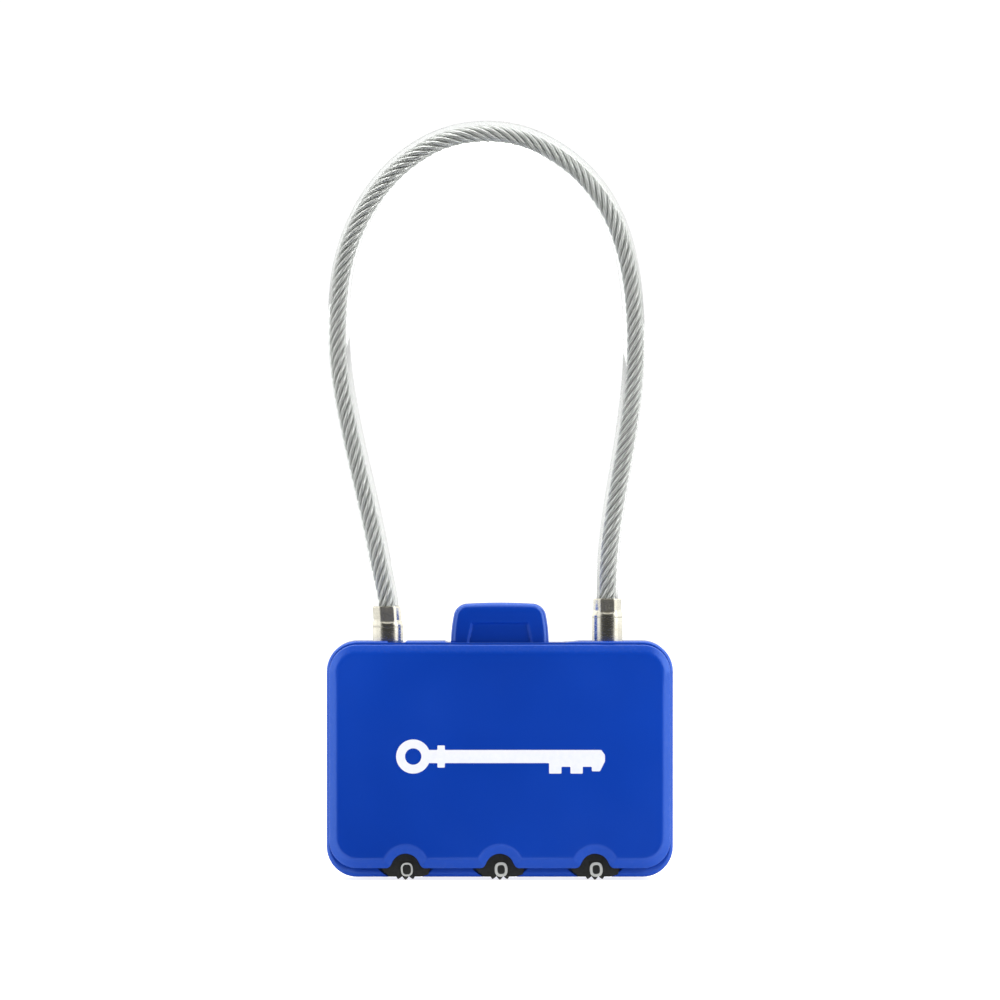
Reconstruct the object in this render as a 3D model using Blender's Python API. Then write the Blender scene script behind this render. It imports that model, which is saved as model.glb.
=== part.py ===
"""Small combination padlock with a coated cable shackle, modelled as an assembly of its real pieces.

+Z points up towards the cable loop, -Y is the front with the number wheels, +X is to the right seen from
the front. The origin is under the middle of the case, level with the lowest teeth of the wheels.
Sizes are written in millimetres and turned into metres by MM.
"""

import math

import bmesh
import bpy
import numpy as np

MM = 0.001

# Case
CASE_HALF_WIDTH = 21.13
CASE_LOW = 0.37
CASE_HIGH = 29.15
CASE_CORNER = 3.7
CASE_WALL = 1.2
CASE_FRONT = -4.4
CASE_BACK = 6.0
RIM_CHAMFER = 0.3
BACK_CHAMFER = 0.8

# Front cover
COVER_HALF_WIDTH = 20.8
COVER_LOW = 1.46
COVER_HIGH = 28.7
COVER_CORNER = 3.4
COVER_FRONT = -6.0
COVER_BEVEL = 1.1
COVER_WALL = 1.0
PARTING_GAP = 0.1

# Number wheels, from left to right
WHEEL_X = (-11.5, 0.0, 11.6)
WHEEL_Z = 4.4
WHEEL_TIP = 4.4
WHEEL_ROOT = 4.0
WHEEL_TEETH = 30
WHEEL_FRONT = -4.4
WHEEL_BACK = -2.1
WHEEL_BORE = 1.15
WINDOW_RADIUS = 1.77
HALO_WIDTH = 1.1
SLOT_HALF_WIDTH = 3.0

# Cams
HUB_RADIUS = 1.1
CAM_BORE = 0.72
CAM_RADIUS = 2.6
CORE_RADIUS = 1.6
GATE_RADIUS = 1.4
GATE_HALF_ANGLE = 12.0
DETENTS = 10
DETENT_RADIUS = 2.45
DETENT_DEPTH = 0.12
DETENT_THICKNESS = 1.0
CAM_HALF_THICKNESS = 0.6
AXLE_RADIUS = 0.65
AXLE_HEAD = 1.0
AXLE_BACK = 4.1
WASHER_RADIUS = 1.5

# Bosses, posts and rests on the case's floor
AXLE_BOSS_RADIUS = 1.9
AXLE_BOSS_FRONT = 1.3
SCREW_BOSS_RADIUS = 1.1
SCREW_BOSS_FRONT = 0.6
COVER_BOSS_RADIUS = 0.9
COVER_BOSS_BACK = 0.5
POST_PLACES = ((-7.3, 9.1), (4.2, 9.1))
POST_RADIUS = 0.5
REST_PLACES = ((-12.0, 13.0), (12.0, 13.0))
REST_RADIUS = 1.2
REST_FRONT = 0.5

# Detent spring
STRIP_THICKNESS = 0.3
STRIP_WIDTH = 0.8
STRIP_TOP = 8.55
STRIP_END = 16.2
NIB_HALF_WIDTH = 1.2

# Sliding release
TRAVEL = 1.6
HANDLE_BASE = 6.0
HANDLE_TOP_HALF = 4.95
HANDLE_TOP = 33.8
HANDLE_DEPTH = 4.8
HANDLE_CORNER = 1.0
HANDLE_EDGE = 0.35
PANEL_HALF_BASE = 3.8
PANEL_HALF_TOP = 3.4
PANEL_TOP = 31.3
PANEL_DEPTH = 0.35
NECK_HALF_DEPTH = 1.4
FLANGE_HALF_WIDTH = 7.2
FLANGE_HALF_DEPTH = 2.6
FLANGE_THICKNESS = 0.8
FOOT_HALF_WIDTH = 4.0
FOOT_LOW = 20.9
FOOT_THICKNESS = 1.05
SLOT_LEFT = -6.6
RIVET_X = 2.5
RIVET_Z = 22.5
RIVET_HEAD = 0.9
RIVET_HEAD_THICKNESS = 0.4

# Lock slide, with its hooks measured from each wheel's axle
SLIDE_THICKNESS = 0.8
BAR_LOW = 10.0
BAR_HIGH = 15.2
LEG_LEFT = -5.9
LEG_RIGHT = -4.9
HOOK_LOW = 3.8
HOOK_HIGH = 5.0
TAB_HALF_WIDTH = 5.0
TAB_TOP = 24.0
LIMB_RIGHT = 16.25
LIMB_WIDTH = 1.0
SPRING_WINDOW = (-6.2, 5.2, 11.6, 14.4)

# Return spring, between the left edge of its window and the lug on the case's floor
SPRING_LEFT = -6.0
SPRING_RIGHT = 2.25
SPRING_Z = 13.0
SPRING_TURNS = 8
SPRING_POINTS_PER_TURN = 10
SPRING_COIL = 1.0
SPRING_WIRE = 0.14
LUG_LEFT = 2.4
LUG_RIGHT = 3.6
LUG_HALF_HEIGHT = 1.0
LUG_FRONT = -0.6

# Stems and crimped sleeves of the cable
FIXED_X = -13.7
PLUG_X = 13.15
STEM_RADIUS = 1.5
NECK_RADIUS = 1.15
COLLAR_RADIUS = 1.875
SLEEVE_RADIUS = 1.725
SLEEVE_BORE = 1.39
FIXED_COLLAR_TOP = 30.8
FIXED_SLEEVE_TOP = 33.35
PLUG_COLLAR_TOP = 31.95
PLUG_SLEEVE_TOP = 34.3
FIXED_TIP = 25.2
FIXED_GROOVE = (26.95, 27.65)
PLUG_TIP = 22.7
PLUG_NECK_LOW = 24.0
TONGUE_LOW = 25.6
TONGUE_HIGH = 26.4
CLIP_RADIUS = 2.3
CLIP_HEIGHT = (27.0, 27.6)
CLIP_HALF_OPENING = 35.0

# Cable
CABLE_RADIUS = 1.325
SHEATH_WALL = 0.4
ROPE_RADIUS = 0.85
CABLE_POINTS = 50
CABLE_ROUTE = (
    (-13.7, 31.3),
    (-13.7, 33.4),
    (-14.2, 36.5),
    (-15.2, 41.7),
    (-16.4, 47.2),
    (-17.6, 52.4),
    (-18.7, 57.8),
    (-19.5, 63.2),
    (-19.7, 68.6),
    (-19.3, 74.0),
    (-17.9, 79.1),
    (-15.5, 83.6),
    (-12.0, 87.5),
    (-7.5, 90.3),
    (-2.5, 91.4),
    (2.5, 90.9),
    (7.2, 88.7),
    (11.0, 85.4),
    (13.9, 80.9),
    (15.6, 75.5),
    (16.3, 69.8),
    (16.4, 64.0),
    (16.0, 58.6),
    (15.3, 53.4),
    (14.4, 48.0),
    (13.6, 42.6),
    (13.2, 37.4),
    (13.15, 34.4),
    (13.15, 32.4),
)

SCREW_PLACES = ((-18.95, 6.5), (18.95, 6.5), (-18.95, 23.0), (18.95, 23.0))
SCREW_RADIUS = 0.5
SCREW_HEAD = 0.9
SCREW_HEAD_DEPTH = 0.6
SCREW_TIP = -4.2
DRIVE_HALF_LENGTH = 0.55
DRIVE_HALF_WIDTH = 0.12
DRIVE_DEPTH = 0.25
CLEARANCE = 0.05
PLAY = 0.1
BEYOND = 0.5

BLUE = (0.006, 0.045, 0.37)
BLACK = (0.018, 0.018, 0.017)
NICKEL = (0.72, 0.70, 0.64)
STEEL = (0.55, 0.55, 0.54)
BRASS = (0.62, 0.45, 0.18)
CLEAR = (0.86, 0.88, 0.87)


def clear_scene():
    for obj in list(bpy.data.objects):
        bpy.data.objects.remove(obj, do_unlink=True)


def material(name, colour, roughness, metallic, alpha=1.0):
    made = bpy.data.materials.new(name)
    made.use_nodes = True
    made.diffuse_color = (*colour, alpha)
    shader = made.node_tree.nodes["Principled BSDF"]
    shader.inputs["Base Color"].default_value = (*colour, 1.0)
    shader.inputs["Roughness"].default_value = roughness
    shader.inputs["Metallic"].default_value = metallic
    shader.inputs["Alpha"].default_value = alpha
    return made


def link(name, data, finish, smooth_angle=35.0):
    """Put a mesh in the scene under its part's name, smooth except at its edges."""
    obj = bpy.data.objects.new(name, data)
    bpy.context.scene.collection.objects.link(obj)
    if finish is not None:
        data.materials.append(finish)
    data.shade_smooth()
    data.set_sharp_from_angle(angle=math.radians(smooth_angle))
    return obj


def skin(name, rings, finish, closed=False):
    """Join rings with the same number of points into one closed body.

    The first and last ring are capped, or joined to each other if the rings close on themselves.
    """
    bm = bmesh.new()
    loops = [[bm.verts.new(np.array(point) * MM) for point in ring] for ring in rings]
    pairs = list(zip(loops, loops[1:]))
    if closed:
        pairs.append((loops[-1], loops[0]))
    count = len(loops[0])
    for one, other in pairs:
        for i in range(count):
            j = (i + 1) % count
            bm.faces.new((one[i], one[j], other[j], other[i]))
    if not closed:
        bm.faces.new(loops[0])
        bm.faces.new(reversed(loops[-1]))
    bmesh.ops.recalc_face_normals(bm, faces=bm.faces)
    data = bpy.data.meshes.new(name)
    bm.to_mesh(data)
    bm.free()
    return link(name, data, finish)


def rounded_rectangle(half_width, low, high, radius, steps=6):
    """Points (x, z) of an upright rectangle with round corners, counter-clockwise from its lower right."""
    centres = (
        (half_width - radius, low + radius, -90),
        (half_width - radius, high - radius, 0),
        (radius - half_width, high - radius, 90),
        (radius - half_width, low + radius, 180),
    )
    points = []
    for x, z, start in centres:
        for i in range(steps + 1):
            angle = math.radians(start + 90.0 * i / steps)
            points.append((x + radius * math.cos(angle), z + radius * math.sin(angle)))
    return points


def at_depth(outline, y):
    """The outline (x, z) as a ring at the depth y."""
    return [(x, y, z) for x, z in outline]


def prism(name, outline, front, back, finish):
    """A plate with the outline (x, z) from the depth front to the depth back."""
    return skin(name, [at_depth(outline, front), at_depth(outline, back)], finish)


def block(name, low, high, finish=None):
    """A box between two corners."""
    outline = [(low[0], low[2]), (high[0], low[2]), (high[0], high[2]), (low[0], high[2])]
    return prism(name, outline, low[1], high[1], finish)


def turned_y(name, centre, profile, finish=None, segments=24, bore=None):
    """A body turned about an axis along Y through centre (x, z). profile holds (radius, y) pairs."""
    def ring(radius, y):
        angles = [math.tau * i / segments for i in range(segments)]
        return [(centre[0] + radius * math.cos(a), y, centre[1] + radius * math.sin(a)) for a in angles]

    rings = [ring(radius, y) for radius, y in profile]
    if bore is not None:
        rings += [ring(bore, profile[-1][1]), ring(bore, profile[0][1])]
    return skin(name, rings, finish, closed=bore is not None)


def turned_z(name, x, profile, finish=None, segments=24, inner=()):
    """A body turned about an upright axis at x. profile holds (radius, z) pairs, inner those of a bore."""
    def ring(radius, z):
        angles = [math.tau * i / segments for i in range(segments)]
        return [(x + radius * math.cos(a), radius * math.sin(a), z) for a in angles]

    rings = [ring(radius, z) for radius, z in (*profile, *inner)]
    return skin(name, rings, finish, closed=bool(inner))


def boolean(obj, tool, operation):
    """Cut the tool from the object, or join it on, and keep the tool as a hidden guide."""
    modifier = obj.modifiers.new(tool.name, "BOOLEAN")
    modifier.operation = operation
    modifier.object = tool
    tool.hide_render = True
    tool.display_type = "WIRE"


def cut(obj, tool):
    boolean(obj, tool, "DIFFERENCE")


def join(obj, tool):
    boolean(obj, tool, "UNION")


def bevel(obj, width, segments=2, angle=30.0):
    modifier = obj.modifiers.new("edge", "BEVEL")
    modifier.width = width * MM
    modifier.segments = segments
    modifier.limit_method = "ANGLE"
    modifier.angle_limit = math.radians(angle)


def case_outline(inset):
    return rounded_rectangle(
        CASE_HALF_WIDTH - inset, CASE_LOW + inset, CASE_HIGH - inset, CASE_CORNER - inset
    )


def cover_outline(inset):
    return rounded_rectangle(
        COVER_HALF_WIDTH - inset, COVER_LOW + inset, COVER_HIGH - inset, COVER_CORNER - inset
    )


def make_rear_case(finish):
    """Tray with screw bosses, axle bosses, spring lug and detent posts, open towards the front."""
    floor = CASE_BACK - CASE_WALL
    rings = [
        at_depth(case_outline(CASE_WALL), floor),
        at_depth(case_outline(CASE_WALL), CASE_FRONT),
        at_depth(case_outline(RIM_CHAMFER), CASE_FRONT),
        at_depth(case_outline(0.0), CASE_FRONT + RIM_CHAMFER),
        at_depth(case_outline(0.0), CASE_BACK - BACK_CHAMFER),
        at_depth(case_outline(0.3 * BACK_CHAMFER), CASE_BACK - 0.3 * BACK_CHAMFER),
        at_depth(case_outline(BACK_CHAMFER), CASE_BACK),
    ]
    case = skin("rear_case", rings, finish)
    root = floor + 0.3 * CASE_WALL

    def boss(name, place, radius, front):
        join(case, turned_y(name, place, [(radius, front), (radius, root)]))

    for i, place in enumerate(SCREW_PLACES, 1):
        boss(f"screw_boss_{i}", place, SCREW_BOSS_RADIUS, SCREW_BOSS_FRONT)
    for i, x in enumerate(WHEEL_X, 1):
        boss(f"axle_boss_{i}", (x, WHEEL_Z), AXLE_BOSS_RADIUS, AXLE_BOSS_FRONT)
    for i, place in enumerate(POST_PLACES, 1):
        boss(f"detent_post_{i}", place, POST_RADIUS, WHEEL_BACK)
    for i, place in enumerate(REST_PLACES, 1):
        boss(f"slide_rest_{i}", place, REST_RADIUS, REST_FRONT)
    lug_low = (LUG_LEFT, LUG_FRONT, SPRING_Z - LUG_HALF_HEIGHT)
    lug_high = (LUG_RIGHT, root, SPRING_Z + LUG_HALF_HEIGHT)
    join(case, block("spring_lug", lug_low, lug_high))

    hole = SCREW_RADIUS + PLAY
    head = SCREW_HEAD + CLEARANCE
    step = CASE_BACK - SCREW_HEAD_DEPTH
    for i, place in enumerate(SCREW_PLACES, 1):
        profile = [(hole, 0.0), (hole, step), (head, step), (head, CASE_BACK + BEYOND)]
        cut(case, turned_y(f"screw_hole_{i}", place, profile))
    axle_hole = AXLE_RADIUS + CLEARANCE
    room = WHEEL_TIP + 2 * PLAY
    room_front = CASE_FRONT - BEYOND
    room_back = WHEEL_BACK + 3 * PLAY
    for i, x in enumerate(WHEEL_X, 1):
        profile = [(axle_hole, BEYOND), (axle_hole, AXLE_BACK + 2 * PLAY)]
        cut(case, turned_y(f"axle_hole_{i}", (x, WHEEL_Z), profile))
        low = (x - SLOT_HALF_WIDTH, room_front, CASE_LOW - BEYOND)
        high = (x + SLOT_HALF_WIDTH, room_back, CASE_LOW + CASE_WALL + BEYOND)
        cut(case, block(f"wheel_slot_{i}", low, high))
        profile = [(room, room_front), (room, room_back)]
        cut(case, turned_y(f"wheel_room_{i}", (x, WHEEL_Z), profile, segments=36))
    top_low = CASE_HIGH - CASE_WALL - BEYOND
    top_high = CASE_HIGH + BEYOND
    for i, x in enumerate((FIXED_X, PLUG_X), 1):
        profile = [(STEM_RADIUS + PLAY, top_low), (STEM_RADIUS + PLAY, top_high)]
        cut(case, turned_z(f"stem_hole_{i}", x, profile))
    slot_right = HANDLE_BASE + TRAVEL - (SLOT_LEFT + HANDLE_BASE)
    slot_half_depth = NECK_HALF_DEPTH + 2 * PLAY
    low = (SLOT_LEFT, -slot_half_depth, top_low)
    high = (slot_right, slot_half_depth, top_high)
    cut(case, block("handle_slot", low, high))
    return case


def make_front_cover(finish):
    """Shell with a soft bevel, three arched windows in its lower edge and four screw bosses."""
    parting = CASE_FRONT - PARTING_GAP
    inner = COVER_FRONT + COVER_WALL
    rings = [
        at_depth(cover_outline(COVER_WALL), inner),
        at_depth(cover_outline(COVER_WALL), parting),
        at_depth(cover_outline(0.0), parting),
        at_depth(cover_outline(0.0), COVER_FRONT + COVER_BEVEL),
        at_depth(cover_outline(0.25 * COVER_BEVEL), COVER_FRONT + 0.5 * COVER_BEVEL),
        at_depth(cover_outline(0.7 * COVER_BEVEL), COVER_FRONT + 0.1 * COVER_BEVEL),
        at_depth(cover_outline(COVER_BEVEL), COVER_FRONT),
    ]
    cover = skin("front_cover", rings, finish)
    boss_front = inner - 0.3 * COVER_WALL
    for i, place in enumerate(SCREW_PLACES, 1):
        profile = [(COVER_BOSS_RADIUS, boss_front), (COVER_BOSS_RADIUS, COVER_BOSS_BACK)]
        join(cover, turned_y(f"cover_boss_{i}", place, profile))
    pilot = SCREW_RADIUS + CLEARANCE
    for i, place in enumerate(SCREW_PLACES, 1):
        profile = [(pilot, inner + BEYOND), (pilot, COVER_BOSS_BACK + BEYOND)]
        cut(cover, turned_y(f"pilot_hole_{i}", place, profile))
    spread = WINDOW_RADIUS + HALO_WIDTH
    for i, x in enumerate(WHEEL_X, 1):
        profile = [
            (spread + 2 * PLAY, COVER_FRONT - 2 * PLAY),
            (WINDOW_RADIUS, COVER_FRONT + HALO_WIDTH),
            (WINDOW_RADIUS, parting + BEYOND),
        ]
        cut(cover, turned_y(f"window_{i}", (x, COVER_LOW), profile, segments=36))
    return cover


def make_number_wheel(i, x, finish):
    """Disc with pointed teeth, one of them straight down."""
    points = 2 * WHEEL_TEETH
    angles = [math.tau * k / points - math.pi / 2 for k in range(points)]

    def ring(radii, y):
        spots = zip(radii, angles)
        return [(x + r * math.cos(a), y, WHEEL_Z + r * math.sin(a)) for r, a in spots]

    teeth = [WHEEL_TIP if k % 2 == 0 else WHEEL_ROOT for k in range(points)]
    bore = [WHEEL_BORE] * points
    rings = [
        ring(teeth, WHEEL_FRONT),
        ring(teeth, WHEEL_BACK),
        ring(bore, WHEEL_BACK),
        ring(bore, WHEEL_FRONT),
    ]
    return skin(f"number_wheel_{i}", rings, finish, closed=True)


def make_wheel_cam(i, x, finish):
    """Hub, ring with ten detent hollows, and cam disc whose gate faces left at the code."""
    points = 40
    angles = [math.tau * k / points for k in range(points)]
    gate_half_width = math.radians(GATE_HALF_ANGLE)
    hub = [HUB_RADIUS] * points
    core = [CORE_RADIUS] * points
    detent = [DETENT_RADIUS - DETENT_DEPTH * math.cos(DETENTS * a + math.pi) for a in angles]
    cam = [GATE_RADIUS if abs(a - math.pi) < gate_half_width else CAM_RADIUS for a in angles]
    bore = [CAM_BORE] * points

    def ring(radii, y):
        spots = zip(radii, angles)
        return [(x + r * math.cos(a), y, WHEEL_Z + r * math.sin(a)) for r, a in spots]

    front = WHEEL_FRONT + PLAY
    detent_front = WHEEL_BACK + PLAY
    detent_back = detent_front + DETENT_THICKNESS
    rings = [
        ring(hub, front),
        ring(hub, detent_front),
        ring(detent, detent_front),
        ring(detent, detent_back),
        ring(core, detent_back),
        ring(core, -CAM_HALF_THICKNESS),
        ring(cam, -CAM_HALF_THICKNESS),
        ring(cam, CAM_HALF_THICKNESS),
        ring(bore, CAM_HALF_THICKNESS),
        ring(bore, front),
    ]
    return skin(f"wheel_cam_{i}", rings, finish, closed=True)


def make_wheel_axle(i, x, finish):
    head_front = COVER_FRONT + COVER_WALL + CLEARANCE
    head_back = WHEEL_FRONT
    profile = [
        (AXLE_HEAD, head_front),
        (AXLE_HEAD, head_back),
        (AXLE_RADIUS, head_back),
        (AXLE_RADIUS, AXLE_BACK),
    ]
    return turned_y(f"wheel_axle_{i}", (x, WHEEL_Z), profile, finish)


def make_wheel_washer(i, x, finish):
    profile = [(WASHER_RADIUS, CAM_HALF_THICKNESS + PLAY), (WASHER_RADIUS, AXLE_BOSS_FRONT - PLAY)]
    return turned_y(f"wheel_washer_{i}", (x, WHEEL_Z), profile, finish, bore=AXLE_RADIUS + PLAY)


def make_detent_spring(finish):
    """Thin strip held under the posts, with a V nib over each detent ring."""
    top = STRIP_TOP
    under = STRIP_TOP - STRIP_THICKNESS
    nib_low = WHEEL_Z + DETENT_RADIUS + DETENT_DEPTH + CLEARANCE
    nib_high = nib_low + 1.1 * STRIP_THICKNESS
    half = NIB_HALF_WIDTH
    lower = []
    for x in WHEEL_X:
        lower += [(x - half, under), (x, nib_low), (x + half, under)]
    upper = []
    for x in reversed(WHEEL_X):
        upper += [(x + half, top), (x, nib_high), (x - half, top)]
    outline = [(-STRIP_END, under), *lower, (STRIP_END, under), (STRIP_END, top), *upper, (-STRIP_END, top)]
    front = WHEEL_BACK + 2 * PLAY
    return prism("detent_spring", outline, front, front + STRIP_WIDTH, finish)


def make_release_handle(finish):
    """Suitcase-handle shape above the case, neck through the slot, flange and foot inside."""
    base = CASE_HIGH + PLAY
    radius = HANDLE_CORNER
    slope = (HANDLE_BASE - HANDLE_TOP_HALF) / (HANDLE_TOP - base)
    shoulder = HANDLE_TOP_HALF + slope * radius
    right = [(HANDLE_BASE, base)]
    for k in range(5):
        angle = math.radians(90.0 * k / 4)
        x = shoulder - radius + radius * math.cos(angle)
        right.append((x, HANDLE_TOP - radius + radius * math.sin(angle)))
    left = [(-x, z) for x, z in reversed(right)]
    handle = prism("release_handle", right + left, -HANDLE_DEPTH / 2, HANDLE_DEPTH / 2, finish)
    bevel(handle, HANDLE_EDGE)
    flange_top = CASE_HIGH - CASE_WALL - PLAY
    flange_low = flange_top - FLANGE_THICKNESS
    overlap = FLANGE_THICKNESS / 2
    neck_low = (-HANDLE_BASE, -NECK_HALF_DEPTH, flange_low + overlap)
    neck_high = (HANDLE_BASE, NECK_HALF_DEPTH, base + overlap)
    join(handle, block("handle_neck", neck_low, neck_high))
    plate_low = (-FLANGE_HALF_WIDTH, -FLANGE_HALF_DEPTH, flange_low)
    plate_high = (FLANGE_HALF_WIDTH, FLANGE_HALF_DEPTH, flange_top)
    join(handle, block("handle_flange", plate_low, plate_high))
    foot_back = -SLIDE_THICKNESS / 2 - PLAY
    foot_front = foot_back - FOOT_THICKNESS
    foot_low = (-FOOT_HALF_WIDTH, foot_front, FOOT_LOW)
    foot_high = (FOOT_HALF_WIDTH, foot_back, flange_low + overlap)
    join(handle, block("handle_foot", foot_low, foot_high))
    panel = [
        (-PANEL_HALF_BASE, base - BEYOND),
        (PANEL_HALF_BASE, base - BEYOND),
        (PANEL_HALF_TOP, PANEL_TOP),
        (-PANEL_HALF_TOP, PANEL_TOP),
    ]
    near = HANDLE_DEPTH / 2 - PANEL_DEPTH
    far = HANDLE_DEPTH / 2 + BEYOND
    cut(handle, prism("front_panel", panel, -far, -near, None))
    cut(handle, prism("back_panel", panel, near, far, None))
    hole = SCREW_RADIUS + CLEARANCE
    for i, x in enumerate((-RIVET_X, RIVET_X), 1):
        profile = [(hole, foot_front - BEYOND), (hole, foot_back + BEYOND)]
        cut(handle, turned_y(f"foot_hole_{i}", (x, RIVET_Z), profile))
    return handle


def make_lock_slide(finish):
    """Stamped plate: three fence hooks below, a tab for the handle and a latch tongue round the plug.

    Each fence hook ends one travel short of the cam, so that it stays outside the cam's circle.
    """
    outline = []
    for x in WHEEL_X:
        hook_tip = x - CAM_RADIUS - PLAY - TRAVEL
        outline += [
            (x + LEG_LEFT, BAR_LOW),
            (x + LEG_LEFT, HOOK_LOW),
            (hook_tip, HOOK_LOW),
            (hook_tip, HOOK_HIGH),
            (x + LEG_RIGHT, HOOK_HIGH),
            (x + LEG_RIGHT, BAR_LOW),
        ]
    limb_left = LIMB_RIGHT - LIMB_WIDTH
    tongue_tip = PLUG_X + NECK_RADIUS + CLEARANCE
    outline += [
        (LIMB_RIGHT, BAR_LOW),
        (LIMB_RIGHT, TONGUE_HIGH),
        (tongue_tip, TONGUE_HIGH),
        (tongue_tip, TONGUE_LOW),
        (limb_left, TONGUE_LOW),
        (limb_left, BAR_HIGH),
        (TAB_HALF_WIDTH, BAR_HIGH),
        (TAB_HALF_WIDTH, TAB_TOP),
        (-TAB_HALF_WIDTH, TAB_TOP),
        (-TAB_HALF_WIDTH, BAR_HIGH),
        (WHEEL_X[0] + LEG_LEFT, BAR_HIGH),
    ]
    half = SLIDE_THICKNESS / 2
    far = half + BEYOND
    slide = prism("lock_slide", outline, -half, half, finish)
    left, right, low, high = SPRING_WINDOW
    cut(slide, block("spring_window", (left, -far, low), (right, far, high)))
    hole = SCREW_RADIUS + CLEARANCE
    for i, x in enumerate((-RIVET_X, RIVET_X), 1):
        cut(slide, turned_y(f"slide_hole_{i}", (x, RIVET_Z), [(hole, -far), (hole, far)]))
    return slide


def make_slide_rivet(i, x, finish):
    half = SLIDE_THICKNESS / 2
    front = -half - PLAY - FOOT_THICKNESS - CLEARANCE
    back = half + CLEARANCE
    profile = [
        (RIVET_HEAD, front - RIVET_HEAD_THICKNESS),
        (RIVET_HEAD, front),
        (SCREW_RADIUS, front),
        (SCREW_RADIUS, back),
        (RIVET_HEAD, back),
        (RIVET_HEAD, back + RIVET_HEAD_THICKNESS),
    ]
    return turned_y(f"slide_rivet_{i}", (x, RIVET_Z), profile, finish, segments=16)


def curve_tube(name, points, radius, finish, resolution, caps=True):
    """Round tube along points given in millimetres."""
    data = bpy.data.curves.new(name, "CURVE")
    data.dimensions = "3D"
    data.bevel_depth = radius * MM
    data.bevel_resolution = resolution
    data.use_fill_caps = caps
    spline = data.splines.new("POLY")
    spline.points.add(len(points) - 1)
    for spot, point in zip(spline.points, points):
        spot.co = (*(coordinate * MM for coordinate in point), 1.0)
    data.materials.append(finish)
    obj = bpy.data.objects.new(name, data)
    bpy.context.scene.collection.objects.link(obj)
    return obj


def make_return_spring(finish):
    """Coil spring along X between the window's left edge in the slide and the lug of the case."""
    steps = SPRING_TURNS * SPRING_POINTS_PER_TURN
    points = []
    for k in range(steps + 1):
        share = k / steps
        angle = math.tau * SPRING_TURNS * share
        x = SPRING_LEFT + (SPRING_RIGHT - SPRING_LEFT) * share
        y = SPRING_COIL * math.cos(angle)
        z = SPRING_Z + SPRING_COIL * math.sin(angle)
        points.append((x, y, z))
    return curve_tube("return_spring", points, SPRING_WIRE, finish, 1)


def make_fixed_stem(finish):
    """Turned stem with a collar on the case and a groove for the clip inside it."""
    shoulder = CASE_HIGH + PLAY
    lead = 0.3
    groove_low, groove_high = FIXED_GROOVE
    profile = [
        (STEM_RADIUS - lead, FIXED_TIP),
        (STEM_RADIUS, FIXED_TIP + lead),
        (STEM_RADIUS, groove_low),
        (NECK_RADIUS, groove_low),
        (NECK_RADIUS, groove_high),
        (STEM_RADIUS, groove_high),
        (STEM_RADIUS, shoulder),
        (COLLAR_RADIUS, shoulder),
        (COLLAR_RADIUS, FIXED_COLLAR_TOP),
    ]
    return turned_z("fixed_stem", FIXED_X, profile, finish)


def make_plug_stem(finish):
    """Turned plug with a collar on the case, and a neck that the tongue grips under the head's shoulder."""
    shoulder = CASE_HIGH + PLAY
    lead = 0.6
    neck_high = TONGUE_HIGH + PLAY
    profile = [
        (STEM_RADIUS - lead, PLUG_TIP),
        (STEM_RADIUS, PLUG_TIP + lead),
        (STEM_RADIUS, PLUG_NECK_LOW),
        (NECK_RADIUS, PLUG_NECK_LOW),
        (NECK_RADIUS, neck_high),
        (STEM_RADIUS, neck_high),
        (STEM_RADIUS, shoulder),
        (COLLAR_RADIUS, shoulder),
        (COLLAR_RADIUS, PLUG_COLLAR_TOP),
    ]
    return turned_z("plug_stem", PLUG_X, profile, finish)


def make_sleeve(name, x, low, high, finish):
    """Sleeve round the cable's end, with its edges broken."""
    edge = 0.15
    outer = [
        (SLEEVE_RADIUS - edge, low),
        (SLEEVE_RADIUS, low + edge),
        (SLEEVE_RADIUS, high - edge),
        (SLEEVE_RADIUS - edge, high),
    ]
    inner = [(SLEEVE_BORE, high), (SLEEVE_BORE, low)]
    return turned_z(name, x, outer, finish, inner=inner)


def make_retaining_clip(finish):
    """C-clip in the fixed stem's groove, open towards the back."""
    inner = NECK_RADIUS + CLEARANCE
    steps = 20
    opening = math.radians(CLIP_HALF_OPENING)
    start = math.pi / 2 + opening
    sweep = math.tau - 2 * opening
    arc = [start + sweep * k / steps for k in range(steps + 1)]
    outline = [(FIXED_X + CLIP_RADIUS * math.cos(a), CLIP_RADIUS * math.sin(a)) for a in arc]
    outline += [(FIXED_X + inner * math.cos(a), inner * math.sin(a)) for a in reversed(arc)]
    rings = [[(x, y, z) for x, y in outline] for z in CLIP_HEIGHT]
    return skin("retaining_clip", rings, finish)


def make_case_screw(i, place, finish):
    head_front = CASE_BACK - SCREW_HEAD_DEPTH + CLEARANCE
    head_back = CASE_BACK - CLEARANCE
    profile = [
        (SCREW_RADIUS, SCREW_TIP),
        (SCREW_RADIUS, head_front),
        (SCREW_HEAD, head_front),
        (SCREW_HEAD, head_back),
    ]
    screw = turned_y(f"case_screw_{i}", place, profile, finish, segments=16)
    x, z = place
    arms = ((DRIVE_HALF_LENGTH, DRIVE_HALF_WIDTH), (DRIVE_HALF_WIDTH, DRIVE_HALF_LENGTH))
    for k, (wide, tall) in enumerate(arms, 1):
        low = (x - wide, head_back - DRIVE_DEPTH, z - tall)
        high = (x + wide, head_back + BEYOND, z + tall)
        cut(screw, block(f"drive_{i}_{k}", low, high))
    return screw


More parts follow.
